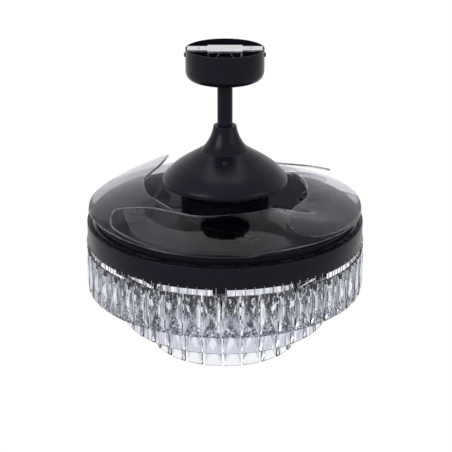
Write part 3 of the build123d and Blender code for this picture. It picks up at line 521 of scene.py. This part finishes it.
# %% Curves of spun metal
def arc_through(a, b, c, steps):
    """Points of the circle arc from a to c that passes b."""
    ax, ay = a
    bx, by = b
    cx, cy = c
    d = 2 * (ax * (by - cy) + bx * (cy - ay) + cx * (ay - by))
    ux = ((ax**2 + ay**2) * (by - cy) + (bx**2 + by**2) * (cy - ay) + (cx**2 + cy**2) * (ay - by)) / d
    uy = ((ax**2 + ay**2) * (cx - bx) + (bx**2 + by**2) * (ax - cx) + (cx**2 + cy**2) * (bx - ax)) / d
    radius = math.hypot(ax - ux, ay - uy)
    first = math.atan2(ay - uy, ax - ux)
    last = math.atan2(cy - uy, cx - ux)
    middle = math.atan2(by - uy, bx - ux)
    if (last - first) * (middle - first) < 0:
        last += math.copysign(2 * math.pi, middle - first)
    return [
        (ux + radius * math.cos(first + (last - first) * k / steps),
         uy + radius * math.sin(first + (last - first) * k / steps))
        for k in range(steps + 1)
    ]


def between(p0, p1, p2, p3, t):
    """The point at share t of a smooth curve's span from p1 to p2, with its neighbours p0 and p3."""
    return 0.5 * (2 * p1 + (p2 - p0) * t + (2 * p0 - 5 * p1 + 4 * p2 - p3) * t * t
                  + (3 * p1 - p0 - 3 * p2 + p3) * t * t * t)


def curve_through(points, steps):
    """A smooth open curve through the points."""
    spots = [Vector(p) for p in points]
    looped = [spots[0]] + spots + [spots[-1]]
    out = [tuple(between(*looped[i:i + 4], k / steps)) for i in range(len(spots) - 1) for k in range(steps)]
    return out + [tuple(points[-1])]


def drawn_in(chain, wall, lowest):
    """The inner side of a sheet: the chain moved square to itself by the wall, none of it below lowest."""
    out = []
    for i, (radius, height) in enumerate(chain):
        before = Vector(chain[max(i - 1, 0)])
        after = Vector(chain[min(i + 1, len(chain) - 1)])
        run = (after - before).normalized()
        out.append((radius + run.y * wall, max(height - run.x * wall, lowest)))
    return out


print("an arc of 24 steps has", len(arc_through((0, 0), (1, 1), (2, 0), 24)), "points")

# %% [markdown]
# ## Coupling cover and dome
#
# The cover is a single arc that passes its waist, and the dome is a curve through six points. Each outline
# goes down the outer side, back up the inner one and round the hole in the top.

# %% Coupling cover and dome
cover_top = -137
cover_base = -182
cover_wall = 1.6
waist = (29.57, -165.35)
cover_curve = arc_through((20.2, cover_top - 1), waist, (42.5, cover_base), 24)
cover_outline = (
    [(canopy_hole, cover_top), (19.2, cover_top), (19.9, cover_top - 0.3)] + cover_curve
    + drawn_in(cover_curve, cover_wall, cover_base)[::-1]
    + [(18.4, cover_top - cover_wall), (canopy_hole, cover_top - cover_wall)]
)
worn_by(turned("cover_skin", cover_outline), "satin_black", "fixed", "coupling_cover")

dome_rim = -239
dome_wall = 1.5
dome_hole = 18.6
dome_points = [(44, cover_base), (69.97, -197.96), (89.02, -211.07), (103.47, -224.98), (109.6, -232.62),
               (110.6, dome_rim)]
dome_curve = curve_through(dome_points, 8)
dome_outline = (
    [(dome_hole, cover_base)] + dome_curve + drawn_in(dome_curve, dome_wall, dome_rim)[::-1]
    + [(dome_hole, cover_base - dome_wall)]
)
worn_by(turned("dome_skin", dome_outline, 160), "satin_black", "fixed", "dome")
print("cover outline", len(cover_outline), "points, dome outline", len(dome_outline), "points")

# %% [markdown]
# ## Motor band
#
# The motor turns outside in: its two shells are the rotor, and they carry the disc. So these pieces ride
# with the rotor and not with the dome above them. The shells are cast cups that meet at a seam, with a seat
# for a bearing in each. Only a dark band of them shows, but the rest is turned too, since it costs little.

# %% Motor band
bore = 12
seat = 20.05
boss = 25
band_radius = 78
shell_top = -209.4
shoulder = -258.4
split = -261.4
disc_top = -293
upper_shell_outline = rounded(
    [(bore, shell_top), (72, shell_top), (72, shoulder), (band_radius, shoulder), (band_radius, split), (69, split),
     (69, -212.4), (boss, -212.4), (boss, -225.4), (seat, -225.4), (seat, -213.4), (bore, -213.4)],
    [0.5, 6, 0.8, 0.8, 0.6, 0.3, 4, 1.5, 0.5, 0.5, 0, 0.5], 4,
)
worn_by(turned("shell_skin_upper", upper_shell_outline), "gloss_black", "rotor", "motor_shell_upper")
lower_shell_outline = rounded(
    [(band_radius, split), (band_radius, disc_top), (bore, disc_top), (bore, -289), (seat, -289), (seat, -277),
     (boss, -277), (boss, -290), (75, -290), (75, split)],
    [0.6, 0.5, 0, 0.5, 0, 0.5, 0.5, 1.5, 4, 0.3], 4,
)
worn_by(turned("shell_skin_lower", lower_shell_outline), "gloss_black", "rotor", "motor_shell_lower")
print("shells", len(upper_shell_outline), "and", len(lower_shell_outline), "points")

# %% [markdown]
# ## Rotor disc
#
# The disc is a shallow pan upside down, with a skirt round its edge. It is glossy, so that the blades
# mirror in it. A long round edge shows its corners more than a short one, so the disc is turned in 192
# steps, where the rod does with 96.

# %% Rotor disc
disc_radius = 232
disc_sheet = 2
skirt_base = -305
disc_floor = disc_top - disc_sheet
disc_outline = rounded(
    [(bore, disc_top), (disc_radius, disc_top), (disc_radius, skirt_base), (disc_radius - disc_sheet, skirt_base),
     (disc_radius - disc_sheet, disc_floor), (bore, disc_floor)],
    [0, 3, 0.6, 0.6, 1, 0], 5,
)
worn_by(turned("disc_skin", disc_outline, 192), "gloss_black", "rotor", "rotor_disc")
print("disc", 2 * disc_radius, "mm wide")

# %% [markdown]
# ## Drum and diffuser
#
# Below the disc the light begins, and it stands still. A rolled band with a lip turned in at its top hides
# the lamp, and an opal disc that lies on a ledge inside spreads its light. The band is a thin sheet with
# bends in it, so its outline goes once round both sides of that sheet.

# %% Drum ring and diffuser
drum_radius = 245
drum_inside = 242.5
lip = 235
ledge = 236
drum_top = -306.7
lip_foot = -308.7
ledge_top = -340
ledge_foot = -342
drum_base = -345
ring_outline = rounded(
    [(drum_radius, drum_base), (drum_radius, drum_top), (lip, drum_top), (lip, lip_foot), (drum_inside, lip_foot),
     (drum_inside, ledge_top), (ledge, ledge_top), (ledge, ledge_foot), (drum_inside, ledge_foot),
     (drum_inside, drum_base)],
    [0.4, 1.2, 0.6, 0.6, 0.8, 0.3, 0.5, 0.5, 0.3, 0.4], 4,
)
worn_by(turned("drum_skin", ring_outline, 192), "satin_black", "fixed", "drum_ring")

opal_radius = 241.9
opal_top = -337
diffuser_outline = rounded([(0, ledge_top), (opal_radius, ledge_top), (opal_radius, opal_top), (0, opal_top)],
                           [0, 0.8, 0.8, 0], 3)
worn_by(turned("diffuser_disc", diffuser_outline), "opal", "fixed", "diffuser")
print("drum", 2 * drum_radius, "mm wide and", round(drum_top - drum_base, 1), "mm tall")

# %% [markdown]
# ## Hoops
#
# Three flat hoops carry the crystals. They are black like the band, so that one hardly sees them behind the
# glass. They differ in radius, height and width only, so one loop makes all three. The legs between them
# stay as the solids have them.

# %% Hoops
hoop_sheet = 2
for hoop, radius, top, tall in (("upper_hoop", 237.7, -342, 3), ("middle_hoop", 182, -397, 8),
                                ("lower_hoop", 130, -445, 8)):
    foot = top - tall
    inside = radius - hoop_sheet
    band = rounded([(radius, top), (radius, foot), (inside, foot), (inside, top)], [0.6] * 4, 2)
    worn_by(turned(hoop + "_band", band, 144), "satin_black", "fixed", hoop)
    print(hoop, 2 * radius, "mm wide")

# %% [markdown]
# ## The plan of a clear blade
#
# Seen from above, a blade is a crescent whose outer edge follows the disc's rim a little way outside it, so
# that four folded blades cover the disc. Points are given as a share of the way round the blade's arc and a
# share of the outer radius, and a smooth closed curve runs through them. The curve is then cut at the root
# and the tip into an outer and an inner edge with as many points each, so that straight rows can join them.

# %% Blade plan
outer_radius = 241
blade_arc = 164
plan_steps = 12
edge_points = 90
outer_edge = [(0.03, 1), (0.13, 1), (0.24, 1), (0.36, 1), (0.47, 1), (0.58, 1), (0.7, 1), (0.82, 1), (0.927, 1)]
tip_end = [(0.975, 0.972), (1.0, 0.9)]
inner_edge = [(0.98, 0.815), (0.915, 0.69), (0.82, 0.637), (0.7, 0.616), (0.5, 0.583), (0.34, 0.537),
              (0.19, 0.515), (0.05, 0.545), (-0.055, 0.62)]
root_end = [(-0.08, 0.73), (-0.07, 0.845), (-0.028, 0.935)]


def plan_point(along, out):
    """A point of the plan with the pivot at angle 0."""
    a = math.radians(-blade_arc * along)
    return Vector((out * outer_radius * math.cos(a), out * outer_radius * math.sin(a)))


def closed_curve(points, steps):
    """A smooth closed curve through the points."""
    looped = [points[-1]] + list(points) + [points[0], points[1]]
    return [between(*looped[i:i + 4], k / steps) for i in range(len(points)) for k in range(steps)]


def spaced(chain, count):
    """The chain's points put at equal spaces."""
    lengths = [0]
    for a, b in zip(chain, chain[1:]):
        lengths.append(lengths[-1] + (b - a).length)
    out = []
    at = 0
    for k in range(count + 1):
        want = lengths[-1] * k / count
        while at < len(chain) - 2 and lengths[at + 1] < want:
            at += 1
        share = (want - lengths[at]) / max(1e-9, lengths[at + 1] - lengths[at])
        out.append(chain[at].lerp(chain[at + 1], share))
    return out


rim = closed_curve([plan_point(*pair) for pair in outer_edge + tip_end + inner_edge + root_end], plan_steps)
tip_at = (len(outer_edge) + len(tip_end) - 1) * plan_steps
root_at = (len(outer_edge) + len(tip_end) + len(inner_edge)) * plan_steps
outer_chain = spaced(rim[root_at:] + rim[:tip_at + 1], edge_points)
inner_chain = spaced(rim[tip_at:root_at + 1], edge_points)[::-1]
print("blade rim", len(rim), "points, cut at", tip_at, "and", root_at)

# %% [markdown]
# ## How a blade rises
#
# A flat blade would push no air. Its height follows one rule: flat near the pivot, where a cap clamps it,
# then turned up 17 degrees towards the fan's axis, with a slight bow across it and a lift at the tip. The
# same rule gives four blades that lie over one another like the leaves of a fan.

# %% Blade height
root_height = -288.5
pitch_start, pitch_run = 0.09, 0.4
full_pitch = 17
step_up = 5.3
lift_start, lift_run = 0.74, 0.26
tip_lift = 17
bow_height = 4
bow_width = outer_radius * 0.46
behind_root = -60


def eased(share):
    """A smooth step from 0 to 1."""
    share = min(1, max(0, share))
    return share * share * (3 - 2 * share)


def sheet_height(radius, along):
    """Height in millimetres of the middle of the sheet."""
    turned_in = eased((along - pitch_start) / pitch_run)
    lifted = max(0, along - lift_start) / lift_run
    slope = math.tan(math.radians(full_pitch * turned_in))
    inward = (outer_radius - radius) / bow_width
    bow = bow_height * turned_in * 4 * inward * (1 - inward)
    return root_height + step_up * turned_in + tip_lift * lifted**2 + slope * (outer_radius - radius) + bow


def sheet_point(flat):
    """A point of the plan in its place in the middle of the sheet."""
    along = -math.degrees(math.atan2(flat.y, flat.x))
    if along < behind_root:
        along += 360
    return Vector((flat.x * mm, flat.y * mm, sheet_height(flat.length, along / blade_arc) * mm))


print("the tip stands", round(sheet_height(outer_radius, 1) - root_height, 1), "mm above the root")

# %% [markdown]
# ## The sheet of a blade
#
# A blade is a thin moulding. Its shape is hard to draw as a solid, but easy as a surface: rows of faces join
# the two edges, and each point takes its height from the rule. Then Solidify gives the surface its
# thickness, and Bevel breaks the sharp edge all round it.

# %% Blade sheet
rows = 14
blade_thickness = 3
pivot_turn = math.radians(14)


def blade_place(number):
    """The turn that brings blade 1's plan to the place of another blade."""
    return Matrix.Rotation(pivot_turn + math.radians(90 * (number - 1)), 3, "Z")


def blade_sheet(number):
    """The sheet of one blade, placed round the axis."""
    place = blade_place(number)
    points = [place @ sheet_point(inner.lerp(outer, k / rows))
              for inner, outer in zip(inner_chain, outer_chain) for k in range(rows + 1)]
    faces = []
    for i in range(len(inner_chain) - 1):
        for k in range(rows):
            a = i * (rows + 1) + k
            faces.append((a, a + 1, a + rows + 2, a + rows + 1))
    obj = piece_from(f"blade_sheet_{number}", points, faces)
    thick = obj.modifiers.new("thickness", "SOLIDIFY")
    thick.thickness = blade_thickness * mm
    thick.offset = 0
    round_edge = obj.modifiers.new("round edge", "BEVEL")
    round_edge.width = 0.9 * mm
    round_edge.segments = 2
    round_edge.limit_method = "ANGLE"
    round_edge.angle_limit = math.radians(50)
    return obj


print("a sheet has", rows * edge_points, "faces before it gets its thickness")

# %% [markdown]
# ## The rim of a blade
#
# A clear sheet with a square edge all but vanishes in a picture, while a real one shows a bright line
# there. So a thin round bead follows the edge. It is a closed curve with a bevel depth, which keeps its
# section round wherever the edge turns. A helper turns a curve, or a mesh with modifiers, into a plain mesh.

# %% Blade rim
rim_radius = 1.0


def blade_rim(number):
    """The rounded rim of one blade, a closed curve with a round section."""
    place = blade_place(number)
    path = [place @ sheet_point(flat) for flat in outer_chain + inner_chain[-2:0:-1]]
    curve = bpy.data.curves.new(f"blade_rim_{number}", "CURVE")
    curve.dimensions = "3D"
    curve.bevel_depth = rim_radius * mm
    curve.bevel_resolution = 1
    line = curve.splines.new("POLY")
    line.points.add(len(path) - 1)
    line.use_cyclic_u = True
    for point, spot in zip(line.points, path):
        point.co = (*spot, 1)
    obj = bpy.data.objects.new(f"blade_rim_{number}", curve)
    bpy.context.scene.collection.objects.link(obj)
    return obj


def made_plain(obj):
    """The object with its modifiers or its curve turned into a plain mesh."""
    bpy.context.view_layer.update()
    graph = bpy.context.evaluated_depsgraph_get()
    mesh = bpy.data.meshes.new_from_object(obj.evaluated_get(graph))
    name = obj.name
    bpy.data.objects.remove(obj)
    return dressed(name, mesh)


print("the bead is", 2 * rim_radius, "mm thick")

# %% [markdown]
# ## Four blades
#
# The four blades are alike, a quarter turn apart. Each rides on an arm of its own, because each swings
# round a spindle of its own, and its sheet and its rim together stand in for one solid.

# %% Four blades
for number in range(1, 5):
    body, solid = f"blade_arm_{number}", f"blade_{number}"
    sheet = worn_by(made_plain(blade_sheet(number)), "blade_clear", body, solid)
    # The bead wears the rim finish, whose lighter colour is a painted highlight.
    bead = worn_by(made_plain(blade_rim(number)), "blade_clear", body, solid, look="blade_rim")
    print(sheet.name, len(sheet.data.polygons), "faces,", bead.name, len(bead.data.polygons), "faces")

# %% [markdown]
# ## One crystal
#
# The crystal is a long prism with a thin edge all round. Its front and back are drawn out to a ridge
# whose two ends are the hips, four sloped facets on each side. That needs only twelve points. A narrow bevel
# with one segment cuts every edge as a grinder does, and each cut catches the light as a fine line.

# %% Crystal shape
crystal_half = 14.75
crystal_edge = 2
crystal_deep = 5
crystal_tall = 75.8
crystal_hip = 36


def crystal_mesh():
    """A prism with hipped front and back, in millimetres, hanging from the origin."""
    points = []
    for side in (1, -1):
        edge, deep = side * crystal_edge, side * crystal_deep
        points += [
            (edge, -crystal_half, 0), (edge, crystal_half, 0), (edge, crystal_half, -crystal_tall),
            (edge, -crystal_half, -crystal_tall), (deep, 0, -crystal_hip), (deep, 0, crystal_hip - crystal_tall),
        ]
    faces = []
    for base, flip in ((0, False), (6, True)):
        for corners in ((0, 1, 4), (1, 2, 5, 4), (2, 3, 5), (3, 0, 4, 5)):
            facet = [base + i for i in corners]
            faces.append(facet[::-1] if flip else facet)
    faces += [(0, 6, 7, 1), (1, 7, 8, 2), (2, 8, 9, 3), (3, 9, 6, 0)]
    mesh = bpy.data.meshes.new("crystal")
    mesh.from_pydata([tuple(c * mm for c in p) for p in points], [], faces)
    obj = dressed("crystal_shape", mesh, smooth=False)
    cut = obj.modifiers.new("cut edges", "BEVEL")
    cut.width = 0.5 * mm
    cut.segments = 1
    cut.limit_method = "ANGLE"
    cut.angle_limit = math.radians(12)
    return made_plain(obj)


crystal_shape = crystal_mesh()
print("crystal", len(crystal_shape.data.polygons), "faces")

# %% [markdown]
# ## One hook
#
# Each crystal hangs from two long wire rings that go round the lower edge of the band above it and into its
# top. A ring stands square to the band. There are 216 of them, a few pixels tall, so a wire of four flat
# faces is enough: a round one would cost thousands of faces that nobody sees.

# %% Hook shape
hook_wire = 0.7
hook_half = 2.8
hook_top = 4.6
hook_foot = -13
hook_steps = 4


def hook_mesh():
    """A long ring of square wire, in millimetres, round the origin in the XZ plane."""
    path = []
    for middle, first in ((hook_top - hook_half, 0), (hook_foot + hook_half, math.pi)):
        for k in range(hook_steps + 1):
            a = first + math.pi * k / hook_steps
            path.append((hook_half * math.cos(a), middle + hook_half * math.sin(a)))
    points = []
    faces = []
    count = len(path)
    for i in range(count):
        here = Vector(path[i])
        run = (Vector(path[(i + 1) % count]) - Vector(path[i - 1])).normalized()
        out = Vector((run.y, -run.x))
        for k in range(4):
            a = math.pi / 4 + math.pi * k / 2
            flat = here + out * hook_wire * math.cos(a)
            points.append((flat.x * mm, hook_wire * math.sin(a) * mm, flat.y * mm))
    for i in range(count):
        j = (i + 1) % count
        for k in range(4):
            n = (k + 1) % 4
            faces.append((i * 4 + k, j * 4 + k, j * 4 + n, i * 4 + n))
    return piece_from("hook_shape", points, faces)


hook_shape = hook_mesh()
print("hook", len(hook_shape.data.polygons), "faces,", hook_top - hook_foot, "mm long")

# %% [markdown]
# ## A tree that sets shapes round a circle
#
# 108 crystals are one shape at many places, which is what Geometry Nodes are for: a tree puts points on
# a circle, turns each one outwards, and copies the shape to them. A random turn with a fixed seed lets the
# crystals hang a little unevenly. The sizes are inputs of the tree, so the crystals, the hooks and the
# screws all share it. It ends in Realize Instances, which turns the copies into real faces, and Set
# Material, which gives them their finish.

# %% Circle tree
circle_inputs = (
    ("Shape", "NodeSocketObject", None), ("Count", "NodeSocketInt", 8), ("Radius", "NodeSocketFloat", 0.1),
    ("Height", "NodeSocketFloat", 0.0), ("Start", "NodeSocketFloat", 0.0), ("Tilt", "NodeSocketFloat", 0.0),
    ("Sway", "NodeSocketFloat", 0.0), ("Seed", "NodeSocketInt", 1), ("Finish", "NodeSocketMaterial", None),
)


def circle_tree():
    """Copies of an object round the axis, each turned outwards, with a little sway."""
    tree = bpy.data.node_groups.new("set round a circle", "GeometryNodeTree")
    tree.interface.new_socket("Geometry", in_out="INPUT", socket_type="NodeSocketGeometry")
    for name, kind, value in circle_inputs:
        made = tree.interface.new_socket(name, in_out="INPUT", socket_type=kind)
        if value is not None:
            made.default_value = value
    tree.interface.new_socket("Geometry", in_out="OUTPUT", socket_type="NodeSocketGeometry")
    given = tree.nodes.new("NodeGroupInput").outputs
    points = node(tree, "GeometryNodePoints", {"Count": given["Count"]})
    index = node(tree, "GeometryNodeInputIndex").outputs[0]
    share = maths(tree, "DIVIDE", index, given["Count"])
    angle = maths(tree, "MULTIPLY_ADD", share, 2 * math.pi, given["Start"])
    spot = node(tree, "ShaderNodeCombineXYZ", {
        "X": maths(tree, "MULTIPLY", maths(tree, "COSINE", angle), given["Radius"]),
        "Y": maths(tree, "MULTIPLY", maths(tree, "SINE", angle), given["Radius"]),
        "Z": given["Height"]})
    placed = node(tree, "GeometryNodeSetPosition", {"Geometry": points.outputs[0], "Position": spot.outputs[0]})
    sway = node(tree, "FunctionNodeRandomValue", {"Seed": given["Seed"]}, data_type="FLOAT")
    least, most = [s for s in sway.inputs if s.type == "VALUE"][:2]
    tree.links.new(maths(tree, "MULTIPLY", given["Sway"], -1), least)
    tree.links.new(given["Sway"], most)
    swayed = [s for s in sway.outputs if s.type == "VALUE" and s.enabled][0]
    turn = node(tree, "ShaderNodeCombineXYZ", {"Y": given["Tilt"], "Z": maths(tree, "ADD", angle, swayed)})
    shape = node(tree, "GeometryNodeObjectInfo", {"Object": given["Shape"]})
    copies = node(tree, "GeometryNodeInstanceOnPoints", {
        "Points": placed.outputs[0], "Instance": shape.outputs["Geometry"], "Rotation": turn.outputs[0]})
    real = node(tree, "GeometryNodeRealizeInstances", {0: copies.outputs[0]})
    paint = node(tree, "GeometryNodeSetMaterial", {"Geometry": real.outputs[0], "Material": given["Finish"]})
    tree.links.new(paint.outputs[0], tree.nodes.new("NodeGroupOutput").inputs[0])
    return tree


round_tree = circle_tree()
print("tree:", round_tree.name, len(round_tree.nodes), "nodes")

# %% [markdown]
# ## From the tree to a plain mesh
#
# A modifier's input is named by an identifier that Blender gives it, so the helper looks the name up in the
# tree's interface. The evaluated result becomes a mesh of its own and the holder of the modifier goes, so
# that the piece rests on nothing else.

# %% Set a shape round the fan
def set_round(name, shape, slot, body, solid, **values):
    """One piece of many copies, as a plain mesh."""
    holder = bpy.data.objects.new(name + "_holder", bpy.data.meshes.new(name + "_holder"))
    bpy.context.scene.collection.objects.link(holder)
    modifier = holder.modifiers.new("round", "NODES")
    modifier.node_group = round_tree
    values = {"Shape": shape, "Finish": finishes[slot], **values}
    for item in round_tree.interface.items_tree:
        if item.item_type == "SOCKET" and item.in_out == "INPUT" and item.name in values:
            modifier[item.identifier] = values[item.name]
    bpy.context.view_layer.update()
    graph = bpy.context.evaluated_depsgraph_get()
    mesh = bpy.data.meshes.new_from_object(holder.evaluated_get(graph))
    bpy.data.objects.remove(holder)
    obj = bpy.data.objects.new(name, mesh)
    bpy.context.scene.collection.objects.link(obj)
    print(name, len(mesh.polygons), "faces")
    return worn_by(obj, slot, body, solid)


print("the tree takes", ", ".join(name for name, kind, value in circle_inputs))

# %% [markdown]
# ## Three tiers of crystals
#
# The tiers step in from the drum like an upturned cake: 48, 36 and 24 crystals, side by side. Near the
# middle of the photograph the two lower tiers have a gap between two crystals, so in each tier the first
# crystal starts half a space from there. Each crystal has two hooks, so a tier has twice as many of those,
# and they start half a space of their own from the gap.

# %% Tiers
gap_turn = math.radians(-91.5)
hang = 11
for tier, count, radius, height, seed in (("upper", 48, 243.75, -345.0, 11), ("middle", 36, 181.0, -405.0, 12),
                                          ("lower", 24, 129.0, -453.0, 13)):
    set_round(f"crystal_tier_{tier}", crystal_shape, "crystal", "fixed", f"crystals_{tier}",
              Count=count, Radius=radius * mm, Height=(height - hang) * mm, Start=gap_turn + math.pi / count,
              Sway=0.05, Seed=seed)
    set_round(f"hook_tier_{tier}", hook_shape, "hook_wire", "fixed", f"hooks_{tier}",
              Count=2 * count, Radius=radius * mm, Height=height * mm, Start=gap_turn + math.pi / count / 2)
bpy.data.objects.remove(crystal_shape)
bpy.data.objects.remove(hook_shape)

# %% [markdown]
# ## The shape of a screw
#
# The screws are black cap screws with a six-sided socket. Rows of points round the screw's axis give the
# shank, the head with its soft edge, and the socket, whose rows are drawn in to a hexagon. Each kind has
# sizes of its own, so the shape is a function of them and not a mesh made once.

# %% Screw shape
sides = 24


def screw_mesh(shank, length, head, tall):
    """A cap screw in millimetres that points down from the origin, with its head above."""
    soft = tall / 3
    rings = [(shank - 0.4, -length, False), (shank, 0.4 - length, False), (shank, 0, False), (head, 0, False),
             (head, tall - soft, False), (head - 0.3 * soft, tall - 0.3 * soft, False), (head - soft, tall, False),
             (head / 2, tall, True), (head / 2, 0.4 * tall, True)]
    points = []
    for radius, height, six_sided in rings:
        for k in range(sides):
            a = 2 * math.pi * k / sides
            out = radius
            if six_sided:
                out *= math.cos(math.pi / 6) / math.cos(a % (math.pi / 3) - math.pi / 6)
            points.append((out * mm * math.cos(a), out * mm * math.sin(a), height * mm))
    faces = [tuple(range(sides)), tuple((len(rings) - 1) * sides + k for k in range(sides))]
    for i in range(len(rings) - 1):
        for k in range(sides):
            n = (k + 1) % sides
            faces.append((i * sides + k, i * sides + n, (i + 1) * sides + n, (i + 1) * sides + k))
    return piece_from("screw_shape", points, faces)


print("a screw is turned in", sides, "steps")

# %% [markdown]
# ## Where the screws sit
#
# The tree that set the crystals sets the screws too, with a tilt: a quarter turn lays the canopy's screws on
# their side, half a turn makes a screw point upwards, and the dome's stand square to its slope. The rotor's
# screws ride with the rotor, and all others are fixed.

# %% Set the screws
for solid, body, sizes, count, radius, height, start, tilt in (
    ("canopy_screws", "fixed", (2, 9, 4, 2.2), 2, 68, -11.5, 0, 90),
    ("dome_screws", "fixed", (2, 9, 4.5, 3), 2, 57.16, -189.89, -90, 31.15),
    ("ring_screws", "fixed", (2, 3.9, 4, 2), 8, 238.5, -310.7, 0, 180),
    ("rotor_screws", "rotor", (2.5, 7, 4.5, 3), 6, 45, -295, 0, 180),
):
    screw_shape = screw_mesh(*sizes)
    set_round(solid + "_fine", screw_shape, "black_screw", body, solid, Count=count, Radius=radius * mm,
              Height=height * mm, Start=math.radians(start), Tilt=math.radians(tilt))
    bpy.data.objects.remove(screw_shape)

# %% [markdown]
# ## A white studio
#
# The photograph has a plain white ground. More light would bleach the fan as well, so the white comes from
# what a ray meets: rays from the camera, and rays that a gloss or a glass sends on, see a world of strength
# 1. All other rays see a softer and bluer one, which lights the fan at an even level.

# %% World
world_colour = (0.9, 0.93, 1, 1)
world_strength = 0.7


def background_rays(tree):
    """1 for a ray from the camera, a gloss or a glass, and 0 for any other."""
    rays = node(tree, "ShaderNodeLightPath").outputs
    either = maths(tree, "MAXIMUM", rays["Is Camera Ray"], rays["Is Glossy Ray"])
    return maths(tree, "MAXIMUM", either, rays["Is Transmission Ray"])


world = bpy.data.worlds.new("studio")
bpy.context.scene.world = world
world.use_nodes = True
tree = world.node_tree
tree.nodes.clear()
seen = node(tree, "ShaderNodeBackground", {"Color": (1, 1, 1, 1)})
lit = node(tree, "ShaderNodeBackground", {"Color": world_colour, "Strength": world_strength})
mixed = node(tree, "ShaderNodeMixShader", {0: background_rays(tree), 1: lit.outputs[0], 2: seen.outputs[0]})
node(tree, "ShaderNodeOutputWorld", {0: mixed.outputs[0]})
print("world:", len(tree.nodes), "nodes")

# %% [markdown]
# ## The floor
#
# The fan hangs far above a pale floor, which a view from above shows. Right under the fan the floor is matt
# and takes its soft shadow, and further out it fades into the white of the world, so that no edge shows.

# %% Floor
reach = 6
floor_z = -2.4
fade_start, fade_end = 0.6, 1.5
floor_mesh = bpy.data.meshes.new("floor")
floor_mesh.from_pydata([(-reach, -reach, floor_z), (reach, -reach, floor_z), (reach, reach, floor_z),
                        (-reach, reach, floor_z)], [], [(0, 1, 2, 3)])
floor = bpy.data.objects.new("floor", floor_mesh)
bpy.context.scene.collection.objects.link(floor)
pale = bpy.data.materials.new("pale floor")
pale.use_nodes = True
tree = pale.node_tree
matt = tree.nodes["Principled BSDF"]
matt.inputs["Base Color"].default_value = (0.92, 0.92, 0.92, 1)
matt.inputs["Roughness"].default_value = 0.9
place = node(tree, "ShaderNodeTexCoord").outputs["Object"]
flat = node(tree, "ShaderNodeVectorMath", {0: place, 1: (1, 1, 0)}, operation="MULTIPLY").outputs["Vector"]
far = node(tree, "ShaderNodeVectorMath", {0: flat}, operation="LENGTH").outputs["Value"]
fade = node(tree, "ShaderNodeMapRange", {"Value": far, "From Min": fade_start, "From Max": fade_end},
            interpolation_type="SMOOTHSTEP").outputs["Result"]
white_share = maths(tree, "MULTIPLY", background_rays(tree), fade)
white = node(tree, "ShaderNodeEmission").outputs[0]
blend = node(tree, "ShaderNodeMixShader", {0: white_share, 1: matt.outputs[0], 2: white})
tree.links.new(blend.outputs[0], tree.nodes["Material Output"].inputs["Surface"])
floor_mesh.materials.append(pale)
print("floor", -floor_z, "m below the ceiling")

# %% [markdown]
# ## Three lamps
#
# A black object shows its form only by its highlights. A key lamp at the left and a weaker fill at the right
# draw the sides of the dome and the drum, and one above lights the blades. They are large, as a studio's
# soft boxes are, so the highlights stay broad and the shadows soft.

# %% Lamps
lamp_aim = Vector((0, 0, -0.3))


def lamp(name, place, size, power):
    """A square area lamp that faces the fan."""
    data = bpy.data.lights.new(name, "AREA")
    data.shape = "SQUARE"
    data.size = size
    data.energy = power
    obj = bpy.data.objects.new(name, data)
    obj.location = place
    obj.rotation_euler = (Vector(place) - lamp_aim).to_track_quat("Z", "Y").to_euler()
    bpy.context.scene.collection.objects.link(obj)
    print(name, power, "W")


lamp("key", (-1.8, -1.6, 1.2), 1.4, 40)
lamp("fill", (2.2, -1.2, 0.6), 1.6, 14)
lamp("top", (0, 0.4, 2.2), 2.0, 30)
bpy.context.scene.view_settings.view_transform = "Standard"
